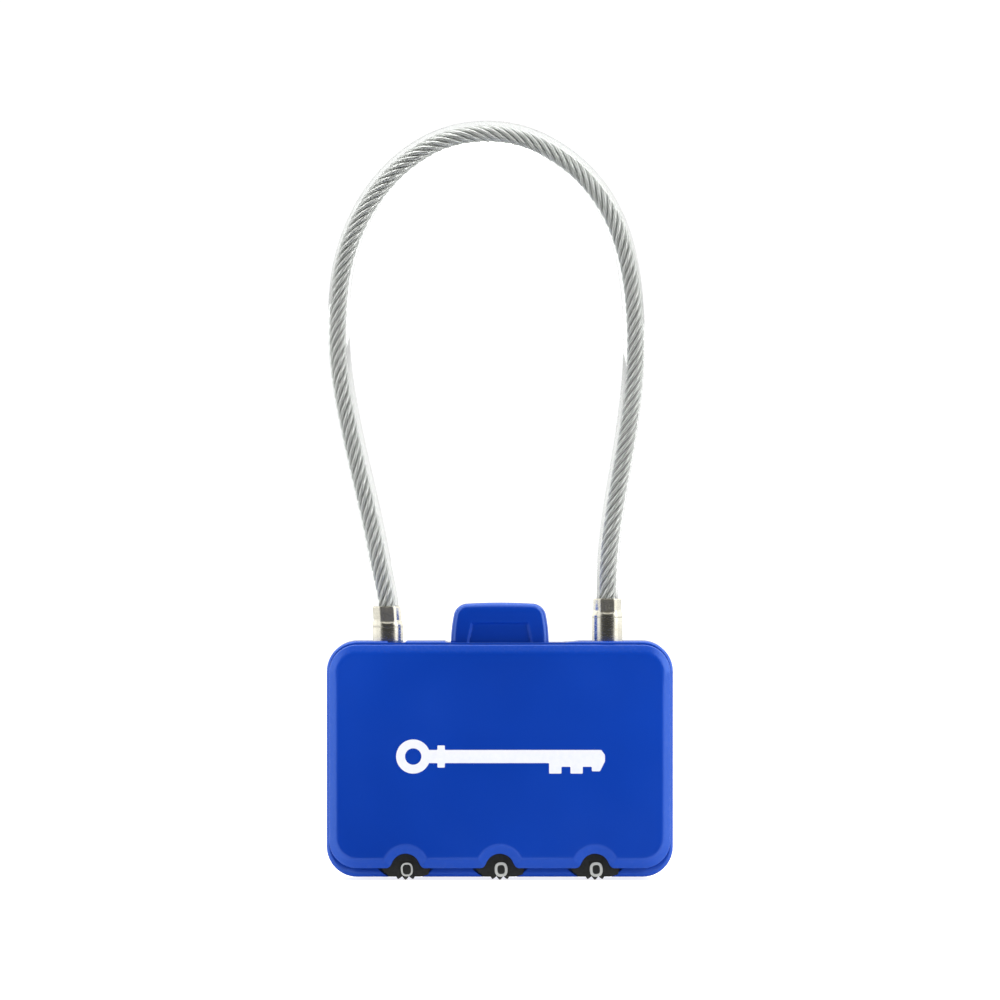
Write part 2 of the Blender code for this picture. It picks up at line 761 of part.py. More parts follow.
def smooth_route(route, count):
    """Evenly spaced points on a natural cubic spline through the route's points (x, z), at mid depth."""
    knots = np.array(route, float)
    spans = np.linalg.norm(np.diff(knots, axis=0), axis=1)
    along = np.concatenate(([0.0], np.cumsum(spans)))
    size = len(knots)
    matrix = np.zeros((size, size))
    right = np.zeros((size, 2))
    matrix[0, 0] = 1.0
    matrix[-1, -1] = 1.0
    slopes = np.diff(knots, axis=0) / spans[:, None]
    for k in range(1, size - 1):
        matrix[k, k - 1] = spans[k - 1]
        matrix[k, k] = 2.0 * (spans[k - 1] + spans[k])
        matrix[k, k + 1] = spans[k]
        right[k] = 6.0 * (slopes[k] - slopes[k - 1])
    bend = np.linalg.solve(matrix, right)
    fine = np.linspace(0.0, along[-1], 4000)
    k = np.clip(np.searchsorted(along, fine, side="right") - 1, 0, size - 2)
    h = spans[k][:, None]
    u = ((along[k + 1] - fine) / spans[k])[:, None]
    v = 1.0 - u
    line = u * knots[k] + v * knots[k + 1]
    line += ((u**3 - u) * bend[k] + (v**3 - v) * bend[k + 1]) * h * h / 6.0
    run = np.concatenate(([0.0], np.cumsum(np.linalg.norm(np.diff(line, axis=0), axis=1))))
    even = np.linspace(0.0, run[-1], count)
    x = np.interp(even, run, line[:, 0])
    z = np.interp(even, run, line[:, 1])
    return [(px, 0.0, pz) for px, pz in zip(x, z)]


def make_cable(sheath_finish, rope_finish):
    """Clear sheath as a hollow tube, and the wire rope inside it."""
    points = smooth_route(CABLE_ROUTE, CABLE_POINTS)
    sheath = curve_tube("cable_sheath", points, CABLE_RADIUS, sheath_finish, 2, caps=False)
    wall = sheath.modifiers.new("wall", "SOLIDIFY")
    wall.thickness = SHEATH_WALL * MM
    wall.offset = -1.0
    curve_tube("wire_rope", points, ROPE_RADIUS, rope_finish, 2)


def main():
    clear_scene()
    blue = material("blue_lacquer", BLUE, 0.2, 0.0)
    black = material("black_wheel", BLACK, 0.55, 0.0)
    nickel = material("nickel_plate", NICKEL, 0.2, 1.0)
    steel = material("spring_steel", STEEL, 0.35, 1.0)
    brass = material("brass", BRASS, 0.35, 1.0)
    clear = material("clear_sheath", CLEAR, 0.1, 0.0, alpha=0.35)
    rope = material("wire_rope", STEEL, 0.3, 1.0)

    make_rear_case(blue)
    make_front_cover(blue)
    for i, x in enumerate(WHEEL_X, 1):
        make_number_wheel(i, x, black)
        make_wheel_cam(i, x, brass)
        make_wheel_axle(i, x, steel)
        make_wheel_washer(i, x, steel)
    make_detent_spring(steel)
    make_release_handle(blue)
    make_lock_slide(steel)
    for i, x in enumerate((-RIVET_X, RIVET_X), 1):
        make_slide_rivet(i, x, steel)
    make_return_spring(steel)
    make_fixed_stem(nickel)
    make_sleeve("fixed_crimp", FIXED_X, FIXED_COLLAR_TOP + CLEARANCE, FIXED_SLEEVE_TOP, nickel)
    make_retaining_clip(steel)
    make_plug_stem(nickel)
    make_sleeve("plug_crimp", PLUG_X, PLUG_COLLAR_TOP + CLEARANCE, PLUG_SLEEVE_TOP, nickel)
    for i, place in enumerate(SCREW_PLACES, 1):
        make_case_screw(i, place, steel)
    make_cable(clear, rope)


main()
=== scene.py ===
import math

import bmesh
import bpy
import numpy as np
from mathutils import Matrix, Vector


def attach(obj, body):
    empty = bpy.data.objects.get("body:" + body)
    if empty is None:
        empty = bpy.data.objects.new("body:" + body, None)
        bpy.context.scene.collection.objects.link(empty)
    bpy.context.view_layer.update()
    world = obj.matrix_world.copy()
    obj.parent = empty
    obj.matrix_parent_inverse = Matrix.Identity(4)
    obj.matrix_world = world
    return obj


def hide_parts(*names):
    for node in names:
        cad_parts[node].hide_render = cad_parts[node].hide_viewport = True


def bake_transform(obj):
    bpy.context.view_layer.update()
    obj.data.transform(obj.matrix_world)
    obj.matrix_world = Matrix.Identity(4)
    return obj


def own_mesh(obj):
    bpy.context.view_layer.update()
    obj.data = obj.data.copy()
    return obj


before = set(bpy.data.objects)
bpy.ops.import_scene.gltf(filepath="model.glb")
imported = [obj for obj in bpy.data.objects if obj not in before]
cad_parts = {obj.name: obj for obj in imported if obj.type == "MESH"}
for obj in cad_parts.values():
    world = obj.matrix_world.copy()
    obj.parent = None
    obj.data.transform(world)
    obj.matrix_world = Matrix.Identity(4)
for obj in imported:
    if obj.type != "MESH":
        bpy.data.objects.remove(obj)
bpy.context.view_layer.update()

# Shapes are worked out in millimetres and put into the meshes in metres.
MM = 0.001
SEAM = 0.0002 * MM

# Cover
COVER_HALF_WIDTH = 20.8
COVER_LOW = 1.46
COVER_HIGH = 28.7
COVER_CORNER = 3.4
COVER_FRONT = -6.0
COVER_INSIDE = -5.0
COVER_PARTING = -4.5
COVER_RIM = 1.0
BEVEL_WIDTH = 1.05
BEVEL_FALL = 0.62
BEVEL_EASE = 0.22
BEVEL_EDGE = 0.1
WHEEL_X = (-11.5, 0.0, 11.6)
WINDOW_RADIUS = 1.77
WINDOW_FILLET = 0.62
WINDOW_REACH = 3.3
MASK_FRONT = -4.495
MASK_BACK = -4.455

# Print: how far ink stands out of its surface, and how deep it is rooted
INK_RISE = 0.025
INK_ROOT = 0.02
KEY_Z = 15.1
KEY_BOW_X = -10.55
KEY_HALF_BAR = 0.8

# Case
CASE_HALF_WIDTH = 21.13
CASE_LOW = 0.37
CASE_HIGH = 29.15
CASE_CORNER = 3.7
CASE_FRONT = -4.4
CASE_BACK = 6.0
CASE_WALL = 1.2
CASE_FLOOR = CASE_BACK - CASE_WALL
RIM_ROUND = 0.5
BACK_ROUND = 0.9
DIP = 0.2
DIP_ABOVE = 0.6
DIP_FRONT = -5.0
SLOT_MIDDLE = 0.8
SLOT_HALF_LENGTH = 7.4
SLOT_HALF_DEPTH = 1.6
SCREW_PLACES = ((-18.95, 6.5), (18.95, 6.5), (-18.95, 23.0), (18.95, 23.0))

# Return spring
SPRING_LEFT = -6.0
SPRING_RIGHT = 2.25
SPRING_Z = 13.0
SPRING_TURNS = 8
SPRING_COIL = 1.0
SPRING_WIRE = 0.14

# Wheels
WHEEL_BODIES = ("wheel_left", "wheel_middle", "wheel_right")
WHEEL_Z = 4.4
WHEEL_TIP = 4.4
WHEEL_ROOT = 4.0
WHEEL_TEETH = 30
WHEEL_FRONT = -4.4
WHEEL_BACK = -2.1
WHEEL_BORE = 1.15
WHEEL_GAP = 0.12
WHEEL_CHAMFER = 0.12
DIGIT_RADIUS = 3.13
DIGIT_HALF_WIDTH = 0.62
DIGIT_HALF_HEIGHT = 0.72
DIGIT_LEAD = 0.05
DIGIT_STROKES = (0.11, 0.17, 0.17)

# Handle
HANDLE_BASE = 6.0
HANDLE_LOW = 28.98
HANDLE_TOP = 33.8
HANDLE_TOP_HALF = 5.3
HANDLE_HALF_DEPTH = 2.4
HANDLE_CORNER = 1.3
HANDLE_ROUND = 1.15
HANDLE_FALL = 0.85
HANDLE_CROWN = 0.12
PANEL_LOW = 29.25
PANEL_HIGH = 31.35
PANEL_HALF = 3.85
PANEL_DEPTH = 0.36

# Cable ends
FIXED_X = -13.7
PLUG_X = 13.15
STEM_RADIUS = 1.5
NECK_RADIUS = 1.15
COLLAR_RADIUS = 1.875
SLEEVE_RADIUS = 1.725
SLEEVE_BORE = 1.39
SLEEVE_EDGE = 0.16
SLEEVE_SIDES = 144
FLAT_DEPTH = 0.2
ARCH_FOOT = 0.42
ARCH_HEIGHT = 0.75
ARCH_HALF_WIDTH = 1.15
SHOULDER = 28.97

# Screws
SCREW_RADIUS = 0.9
SCREW_FACE = 5.95
SCREW_TURN = 0.35

# Lacquer
BLUE_DEEP = (0.0012, 0.034, 0.325)
BLUE_LIGHT = (0.0025, 0.043, 0.385)
# The third blue is lacquer thinned on edges and, laid over bevels and roundings, a painted highlight.
BLUE_THIN_AND_HIGHLIGHT = (0.012, 0.1, 0.62)

# Studio
FLOOR_RADIUS = 6000.0
FLOOR_Z = -0.02

# Cable: the route's points (x, z) in metres, at mid depth
CABLE_ROUTE = (
    (-0.0137, 0.0313),
    (-0.0137, 0.0334),
    (-0.0142, 0.0365),
    (-0.0152, 0.0417),
    (-0.0164, 0.0472),
    (-0.0176, 0.0524),
    (-0.0187, 0.0578),
    (-0.0195, 0.0632),
    (-0.0197, 0.0686),
    (-0.0193, 0.0740),
    (-0.0179, 0.0791),
    (-0.0155, 0.0836),
    (-0.0120, 0.0875),
    (-0.0075, 0.0903),
    (-0.0025, 0.0914),
    (0.0025, 0.0909),
    (0.0072, 0.0887),
    (0.0110, 0.0854),
    (0.0139, 0.0809),
    (0.0156, 0.0755),
    (0.0163, 0.0698),
    (0.0164, 0.0640),
    (0.0160, 0.0586),
    (0.0153, 0.0534),
    (0.0144, 0.0480),
    (0.0136, 0.0426),
    (0.0132, 0.0374),
    (0.01315, 0.0344),
    (0.01315, 0.0324),
)
CABLE_RADIUS = 1.325
STRANDS = 6
STRAND_LAY = 7.6
STRAND_RADIUS = 0.243
STRAND_CIRCLE = 0.485
WIRES = 6
WIRE_LAY = 2.6


# ---------------------------------------------------------------- camera

def place_camera():
    """Level camera in front of the padlock, at the height of the middle of its loop and case together."""
    distance = 1.2
    height = 0.04634
    aside = 0.00002
    seen_width = 0.12195
    lens = bpy.data.cameras.new("camera")
    lens.sensor_width = 36.0
    lens.lens = lens.sensor_width * (distance + CASE_FRONT * MM) / seen_width
    lens.clip_start = 0.01
    lens.clip_end = 50.0
    camera = bpy.data.objects.new("camera", lens)
    bpy.context.scene.collection.objects.link(camera)
    camera.location = (aside, -distance, height)
    camera.rotation_euler = (math.radians(90.0), 0.0, 0.0)
    bpy.context.scene.camera = camera


# ---------------------------------------------------------------- meshes

def faces_of_grid(rows, columns, around, over):
    """Corner numbers of a grid's faces, its points counted row by row.

    around joins the last column to the first one, and over the last row to the first.
    """
    row = np.arange(rows if over else rows - 1)[:, None]
    column = np.arange(columns if around else columns - 1)[None, :]
    next_row = (row + 1) % rows
    next_column = (column + 1) % columns
    corners = np.broadcast_arrays(
        row * columns + column,
        row * columns + next_column,
        next_row * columns + next_column,
        next_row * columns + column,
    )
    return np.stack(corners, axis=-1).reshape(-1, 4)


def patch(points, around=False, over=False, caps=False, wear_and_light=None):
    """A grid of points (rows, columns, 3) with its faces; caps closes the first and the last row."""
    rows, columns = points.shape[:2]
    faces = faces_of_grid(rows, columns, around, over).tolist()
    if caps:
        faces.append(list(range(columns)))
        faces.append(list(range((rows - 1) * columns, rows * columns)))
    if wear_and_light is None:
        wear_and_light = np.zeros((rows, columns))
    return points.reshape(-1, 3), faces, np.broadcast_to(wear_and_light, (rows, columns)).reshape(-1)


def make_piece(name, patches, finish, sharp=35.0):
    """One mesh from patches: shared points are joined, faces turned outwards, edges over sharp kept."""
    points = np.concatenate([spots for spots, _, _ in patches]) * MM
    wear_and_light = np.concatenate([mask for _, _, mask in patches])
    faces = []
    start = 0
    for spots, corners, _ in patches:
        faces += [[start + corner for corner in face] for face in corners]
        start += len(spots)
    data = bpy.data.meshes.new(name)
    data.from_pydata(points.tolist(), [], faces)
    # The per-point mask holds wear on the wheels' teeth, the pressed flats of the sleeves, and painted light:
    # painted highlights on the lacquer's bevels and roundings, painted highlights and shade on the rope's
    # wires.
    data.attributes.new("wear_and_light", "FLOAT", "POINT").data.foreach_set("value", wear_and_light.astype(np.float32))
    bm = bmesh.new()
    bm.from_mesh(data)
    bmesh.ops.remove_doubles(bm, verts=bm.verts, dist=SEAM)
    bmesh.ops.recalc_face_normals(bm, faces=bm.faces)
    bm.to_mesh(data)
    bm.free()
    data.materials.append(finish)
    smooth_but_edges(data, sharp)
    obj = bpy.data.objects.new(name, data)
    bpy.context.scene.collection.objects.link(obj)
    return obj


def smooth_but_edges(data, sharp):
    """Smooth shading, except across edges that turn by more than sharp degrees."""
    data.shade_smooth()
    data.set_sharp_from_angle(angle=math.radians(sharp))


def carve(piece, cutters, sharp):
    """Cut the cutters out of the piece for good, and even the shading of its flat faces."""
    for cutter in cutters:
        modifier = piece.modifiers.new(cutter.name, "BOOLEAN")
        modifier.operation = "DIFFERENCE"
        modifier.solver = "EXACT"
        modifier.object = cutter
    settle(piece)
    for cutter in cutters:
        bpy.data.objects.remove(cutter, do_unlink=True)
    smooth_but_edges(piece.data, sharp)
    even = piece.modifiers.new("even", "WEIGHTED_NORMAL")
    even.keep_sharp = True
    settle(piece)


def settle(piece):
    """Put the result of the piece's modifiers into its mesh."""
    graph = bpy.context.evaluated_depsgraph_get()
    data = bpy.data.meshes.new_from_object(piece.evaluated_get(graph))
    piece.modifiers.clear()
    piece.data = data


def softened(corners, radius, steps=5):
    """A line (k, 2) whose inner corners are rounded.

    Each corner gives way to a parabola from one point on its first side to one on its second, both as far
    from the corner as radius, or as 0.45 of the side if that is less.
    """
    corners = np.asarray(corners, float)
    before, corner, after = corners[:-2], corners[1:-1], corners[2:]
    back = before - corner
    ahead = after - corner
    back_length = np.linalg.norm(back, axis=1, keepdims=True)
    ahead_length = np.linalg.norm(ahead, axis=1, keepdims=True)
    start = corner + back / back_length * np.minimum(radius, 0.45 * back_length)
    end = corner + ahead / ahead_length * np.minimum(radius, 0.45 * ahead_length)
    t = np.linspace(0.0, 1.0, steps)[None, :, None]
    curve = (1 - t) ** 2 * start[:, None] + 2 * t * (1 - t) * corner[:, None] + t**2 * end[:, None]
    return np.concatenate((corners[:1], curve.reshape(-1, 2), corners[-1:]))


def full_turn(steps):
    """Evenly spaced angles of one full turn, as a row."""
    return np.linspace(0.0, math.tau, steps, endpoint=False)[None, :]


def eased(share):
    """A share held between 0 and 1, with a soft start and a soft end."""
    share = np.clip(share, 0.0, 1.0)
    return share * share * (3 - 2 * share)


def turned(centre, profile, upright, steps=96, lead=0.0):
    """Points of a profile (radius, height) carried round an axis through centre.

    Each point stands at the profile's radius in the direction of its angle, the first one at lead. The axis
    is upright, through (x, 0), or it runs from front to back, through (x, z).
    """
    angle = full_turn(steps) + lead
    radius, height = np.asarray(profile, float).T[:, :, None]
    across = centre[0] + radius * np.cos(angle)
    aside = centre[1] + radius * np.sin(angle)
    level = height + 0.0 * angle
    order = (across, aside, level) if upright else (across, level, aside)
    return np.stack(order, axis=-1)


def turned_solid(centre, profile, upright, steps=96):
    """Patch of a turned solid with flat ends."""
    return patch(turned(centre, profile, upright, steps), around=True, caps=True)


def turned_ring(centre, profile, steps=96):
    """Patch of a ring turned about an axis from front to back; the profile's last point joins its first."""
    return patch(turned(centre, profile, False, steps), around=True, over=True)


def edge_loop(grid):
    """The points of a grid's four sides, in order round it."""
    return np.concatenate((grid[0], grid[1:, -1], grid[-1, -2::-1], grid[-2:0:-1, 0]))


def at_depth(outline, y):
    """Points (x, y, z) of an outline (x, z) at one depth."""
    return np.insert(np.asarray(outline, float), 1, y, axis=1)


def outline_ring(half_width, low, high, corner, steps=14):
    """Points (x, z) of a rectangle with round corners: a quarter circle about each corner's centre."""
    angle = np.radians(np.array([-90.0, 0.0, 90.0, 180.0])[:, None] + np.linspace(0.0, 90.0, steps + 1))
    x = np.array([1, 1, -1, -1])[:, None] * (half_width - corner) + corner * np.cos(angle)
    middle = (low + high) / 2
    half_height = (high - low) / 2
    z = middle + np.array([-1, 1, 1, -1])[:, None] * (half_height - corner) + corner * np.sin(angle)
    return np.stack((x.reshape(-1), z.reshape(-1)), axis=-1)


def case_ring(inset, y):
    """The case's outline, drawn in by inset, at the depth y."""
    ring = outline_ring(
        CASE_HALF_WIDTH - inset, CASE_LOW + inset, CASE_HIGH - inset, CASE_CORNER - inset
    )
    return at_depth(ring, y)


def extruded(outline, front, back):
    """Patch of a plate with the outline (k, 2) of (x, z), from the depth front to the depth back."""
    return patch(np.stack([at_depth(outline, y) for y in (front, back)]), around=True, caps=True)


def box_patch(low, high):
    """Patch of a block between its lowest and its highest corner."""
    corners = [(low[0], low[2]), (high[0], low[2]), (high[0], high[2]), (low[0], high[2])]
    return extruded(corners, low[1], high[1])


# ---------------------------------------------------------------- node helpers

def connect(tree, socket, value):
    """Link another node's output to the socket, or give the socket a value of its own."""
    if isinstance(value, bpy.types.NodeSocket):
        tree.links.new(value, socket)
    elif socket.type == "RGBA":
        socket.default_value = (*value, 1.0)
    else:
        socket.default_value = value


def feed(tree, node, **inputs):
    """Connect a node's inputs by name, with _ for a space."""
    for key, value in inputs.items():
        connect(tree, node.inputs[key.replace("_", " ")], value)


def new_node(tree, kind, **inputs):
    """A new node with its inputs connected."""
    made = tree.nodes.new(kind)
    feed(tree, made, **inputs)
    return made


def noise(tree, vector, scale, **inputs):
    """The strength of a noise at the vector."""
    return new_node(tree, "ShaderNodeTexNoise", Vector=vector, Scale=scale, **inputs).outputs["Fac"]


def axes_of(tree, vector):
    """The vector's parts, by the names X, Y and Z."""
    return new_node(tree, "ShaderNodeSeparateXYZ", Vector=vector).outputs


def calculate(tree, operation, first, second=0.0):
    """The result of one arithmetic step."""
    made = tree.nodes.new("ShaderNodeMath")
    made.operation = operation
    for socket, value in zip(made.inputs, (first, second)):
        connect(tree, socket, value)
    return made.outputs[0]


def times(tree, first, second):
    """The product of two values."""
    return calculate(tree, "MULTIPLY", first, second)


def raised(tree, value, mask, most):
    """The value plus a mask times its most."""
    return calculate(tree, "ADD", value, times(tree, mask, most))


def spread(tree, value, low, high, first, last):
    """The value from low to high, spread evenly from first to last and held there beyond."""
    made = new_node(
        tree, "ShaderNodeMapRange", Value=value, From_Min=low, From_Max=high, To_Min=first, To_Max=last
    )
    return made.outputs["Result"]


def mixed(tree, share, first, second):
    """A colour between first and second. A mix node takes colours on its inputs 6 and 7."""
    made = tree.nodes.new("ShaderNodeMix")
    made.data_type = "RGBA"
    for socket, value in zip((made.inputs[0], made.inputs[6], made.inputs[7]), (share, first, second)):
        connect(tree, socket, value)
    return made.outputs[2]


def tinged(tree, colour, mask, most, other):
    """The colour with a share of another one: the mask times its most."""
    return mixed(tree, times(tree, mask, most), colour, other)


def choose(tree, share, first, second, output):
    """Send the first shader to the output where share is 0, and the second one where it is 1."""
    choice = tree.nodes.new("ShaderNodeMixShader")
    for socket, source in zip(choice.inputs, (share, first.outputs[0], second.outputs[0])):
        connect(tree, socket, source)
    tree.links.new(choice.outputs[0], output.inputs["Surface"])


def new_group(name, inputs, outputs):
    """An empty node group, with its inputs and outputs as (name, kind, default)."""
    tree = bpy.data.node_groups.new(name, "ShaderNodeTree")
    for label, kind, default in inputs:
        socket = tree.interface.new_socket(name=label, in_out="INPUT", socket_type=kind)
        if default is not None:
            socket.default_value = default
    for label, kind in outputs:
        tree.interface.new_socket(name=label, in_out="OUTPUT", socket_type=kind)
    return tree, tree.nodes.new("NodeGroupInput"), tree.nodes.new("NodeGroupOutput")


def make_grain_group():
    """Grain: coarse and fine noise together, as a height and as a mask of specks."""
    tree, given, result = new_group(
        "grain",
        [
            ("Vector", "NodeSocketVector", None),
            ("Scale", "NodeSocketFloat", 1000.0),
            ("Fineness", "NodeSocketFloat", 5.0),
            ("Specks", "NodeSocketFloat", 0.65),
        ],
        [("Height", "NodeSocketFloat"), ("Mask", "NodeSocketFloat")],
    )
    coarse = noise(tree, given.outputs["Vector"], given.outputs["Scale"], Detail=3.0)
    finer = times(tree, given.outputs["Scale"], given.outputs["Fineness"])
    fine = noise(tree, given.outputs["Vector"], finer, Detail=1.0)
    height = raised(tree, coarse, fine, 0.35)
    specks = calculate(tree, "GREATER_THAN", fine, given.outputs["Specks"])
    tree.links.new(height, result.inputs["Height"])
    tree.links.new(specks, result.inputs["Mask"])
    return tree


def make_marks_group():
    """Marks of use: wear where the Worn input is high, broken up by noise, soft smudges, and fine crossing
    scratches.
    """
    tree, given, result = new_group(
        "marks",
        [
            ("Vector", "NodeSocketVector", None),
            ("Worn", "NodeSocketFloat", 0.0),
            ("Patches", "NodeSocketFloat", 900.0),
            ("Smudges", "NodeSocketFloat", 120.0),
            ("Scratches", "NodeSocketFloat", 350.0),
        ],
        [("Wear", "NodeSocketFloat"), ("Smudge", "NodeSocketFloat"), ("Scratch", "NodeSocketFloat")],
    )
    vector = given.outputs["Vector"]
    patches = noise(tree, vector, given.outputs["Patches"], Detail=6.0, Roughness=0.65)
    broken = raised(tree, calculate(tree, "SUBTRACT", patches, 0.42), given.outputs["Worn"], 0.35)
    edge = times(tree, spread(tree, broken, 0.28, 0.42, 0.0, 1.0), given.outputs["Worn"])
    smudges = noise(tree, vector, given.outputs["Smudges"], Detail=4.0, Distortion=0.6)
    masks = []
    for turn in (0.5, -0.9):
        stretched = new_node(
            tree, "ShaderNodeMapping", Vector=vector, Rotation=(0.4, turn, 0.2), Scale=(0.04, 1.0, 1.0)
        )
        lines = noise(
            tree, stretched.outputs["Vector"], given.outputs["Scratches"], Detail=8.0, Roughness=0.75
        )
        masks.append(spread(tree, lines, 0.66, 0.72, 0.0, 1.0))
    scratch = calculate(tree, "MAXIMUM", *masks)
    tree.links.new(edge, result.inputs["Wear"])
    tree.links.new(spread(tree, smudges, 0.4, 0.7, 0.0, 1.0), result.inputs["Smudge"])
    tree.links.new(scratch, result.inputs["Scratch"])
    return tree


def make_dust_group():
    """Dust: a mask that is strongest where the surface looks upwards, broken up by fine noise."""
    tree, given, result = new_group(
        "dust",
        [("Vector", "NodeSocketVector", None), ("Scale", "NodeSocketFloat", 2500.0)],
        [("Mask", "NodeSocketFloat")],
    )
    facing = tree.nodes.new("ShaderNodeNewGeometry")
    upward = spread(tree, axes_of(tree, facing.outputs["Normal"])["Z"], 0.2, 1.0, 0.0, 1.0)
    grains = noise(tree, given.outputs["Vector"], given.outputs["Scale"], Detail=4.0)
    broken = spread(tree, grains, 0.5, 0.75, 0.0, 1.0)
    tree.links.new(times(tree, upward, broken), result.inputs["Mask"])
    return tree


GRAIN = make_grain_group()
MARKS = make_marks_group()
DUST = make_dust_group()


def use_group(tree, group, **inputs):
    """The outputs of a shared effect, placed in this tree with its own values."""
    made = tree.nodes.new("ShaderNodeGroup")
    made.node_tree = group
    feed(tree, made, **inputs)
    return made.outputs


def start_finish(name, colour):
    """A new material with its tree, shader, Object coordinates and the piece's mask of wear and painted
    light.
    """
    made = bpy.data.materials.new(name)
    made.use_nodes = True
    made.diffuse_color = (*colour, 1.0)
    tree = made.node_tree
    shader = tree.nodes["Principled BSDF"]
    place = tree.nodes.new("ShaderNodeTexCoord").outputs["Object"]
    wear_and_light = tree.nodes.new("ShaderNodeAttribute")
    wear_and_light.attribute_name = "wear_and_light"
    return made, tree, shader, place, wear_and_light.outputs["Fac"]


def bumped(tree, height, distance, strength, normal=None):
    """A normal bumped by a height, whose full rise is distance in millimetres."""
    made = new_node(tree, "ShaderNodeBump", Height=height, Strength=strength, Distance=distance * MM)
    if normal is not None:
        tree.links.new(normal, made.inputs["Normal"])
    return made.outputs["Normal"]


# ---------------------------------------------------------------- finishes

def blue_lacquer():
    """Glossy blue lacquer over zinc: faint orange peel, smudges, hair scratches, and a lighter blue on bevels
    and edge roundings that is partly lacquer thinned on the edges and partly a painted highlight.
    """
    made, tree, shader, place, wear_and_light = start_finish("blue_lacquer", (0.004, 0.045, 0.37))
    marks = use_group(tree, MARKS, Vector=place, Worn=wear_and_light, Patches=1400.0, Smudges=90.0, Scratches=260.0)
    dust = use_group(tree, DUST, Vector=place, Scale=3000.0)
    peel = use_group(tree, GRAIN, Vector=place, Scale=900.0, Fineness=3.0, Specks=0.72)
    cloud = spread(tree, noise(tree, place, 45.0), 0.35, 0.65, 0.0, 1.0)
    colour = mixed(tree, cloud, BLUE_DEEP, BLUE_LIGHT)
    # Painted highlight, partly thin lacquer: the piece's mask blends in the lighter blue over bevels, edge
    # roundings and lips.
    colour = tinged(tree, colour, wear_and_light, 0.3, BLUE_THIN_AND_HIGHLIGHT)
    colour = tinged(tree, colour, marks["Wear"], 0.03, (0.3, 0.34, 0.42))
    colour = tinged(tree, colour, dust["Mask"], 0.05, (0.5, 0.5, 0.48))
    rough = spread(tree, marks["Smudge"], 0.0, 1.0, 0.09, 0.15)
    rough = raised(tree, rough, marks["Scratch"], 0.06)
    rough = raised(tree, rough, dust["Mask"], 0.12)
    height = raised(tree, peel["Height"], marks["Scratch"], -0.15)
    feed(
        tree, shader, Base_Color=colour, Roughness=rough, Specular_IOR_Level=1.0,
        Specular_Tint=(0.3, 0.5, 1.0), IOR=1.8, Normal=bumped(tree, height, 0.004, 0.5),
    )
    return made


def moulded_black():
    """Matt black moulded plastic: fine spark-eroded grain, rubbed smoother and paler on the teeth."""
    made, tree, shader, place, wear_and_light = start_finish("black_wheel", (0.02, 0.021, 0.019))
    grain = use_group(tree, GRAIN, Vector=place, Scale=5000.0, Fineness=3.0, Specks=0.68)
    marks = use_group(tree, MARKS, Vector=place, Worn=wear_and_light, Patches=2500.0, Smudges=300.0, Scratches=700.0)
    shade = spread(tree, grain["Height"], 0.4, 0.9, 0.0, 1.0)
    colour = mixed(tree, shade, (0.01, 0.011, 0.0095), (0.023, 0.024, 0.0215))
    colour = tinged(tree, colour, marks["Wear"], 0.35, (0.075, 0.075, 0.07))
    rough = raised(tree, spread(tree, marks["Smudge"], 0.0, 1.0, 0.5, 0.62), wear_and_light, -0.12)
    feed(
        tree, shader, Base_Color=colour, Roughness=rough, IOR=1.48,
        Normal=bumped(tree, grain["Height"], 0.01, 0.6),
    )
    return made


def printed(name, colour, worn_colour, scale):
    """Pad-printed ink: slightly uneven cover with tiny pinholes and a soft grain."""
    made, tree, shader, place, _ = start_finish(name, colour)
    grain = use_group(tree, GRAIN, Vector=place, Scale=scale, Fineness=4.0, Specks=0.74)
    ink = mixed(tree, spread(tree, grain["Height"], 0.45, 0.95, 0.0, 0.6), colour, worn_colour)
    ink = tinged(tree, ink, grain["Mask"], 0.3, worn_colour)
    rough = spread(tree, grain["Height"], 0.4, 0.9, 0.32, 0.46)
    feed(tree, shader, Base_Color=ink, Roughness=rough, Normal=bumped(tree, grain["Height"], 0.004, 0.5))
    return made


def nickel_plate():
    """Bright nickel on brass: turning lines round the part, hair scratches, and a dull stamped crimp."""
    made, tree, shader, place, wear_and_light = start_finish("nickel", (0.72, 0.70, 0.64))
    rings = new_node(tree, "ShaderNodeMapping", Vector=place, Scale=(0.03, 0.03, 1.0))
    turning = use_group(tree, GRAIN, Vector=rings.outputs["Vector"], Scale=9000.0, Fineness=2.5, Specks=0.7)
    marks = use_group(tree, MARKS, Vector=place, Worn=1.0, Patches=1600.0, Smudges=500.0, Scratches=900.0)
    press = use_group(tree, GRAIN, Vector=place, Scale=4200.0, Fineness=2.5, Specks=0.6)
    pressed = spread(tree, wear_and_light, 0.25, 0.9, 0.0, 1.0)
    colour = mixed(tree, marks["Smudge"], (0.77, 0.745, 0.64), (0.67, 0.64, 0.53))
    dark = times(tree, pressed, spread(tree, press["Height"], 0.45, 0.85, 0.75, 0.25))
    colour = mixed(tree, dark, colour, (0.5, 0.47, 0.37))
    rough = spread(tree, turning["Height"], 0.4, 0.9, 0.2, 0.3)
    rough = raised(tree, rough, pressed, 0.24)
    rough = raised(tree, rough, marks["Scratch"], 0.1)
    lines = bumped(tree, turning["Height"], 0.0008, 0.5)
    pits = times(tree, press["Height"], pressed)
    feed(
        tree, shader, Base_Color=colour, Metallic=1.0, Roughness=rough,
        Normal=bumped(tree, pits, 0.09, 0.8, lines),
    )
    return made


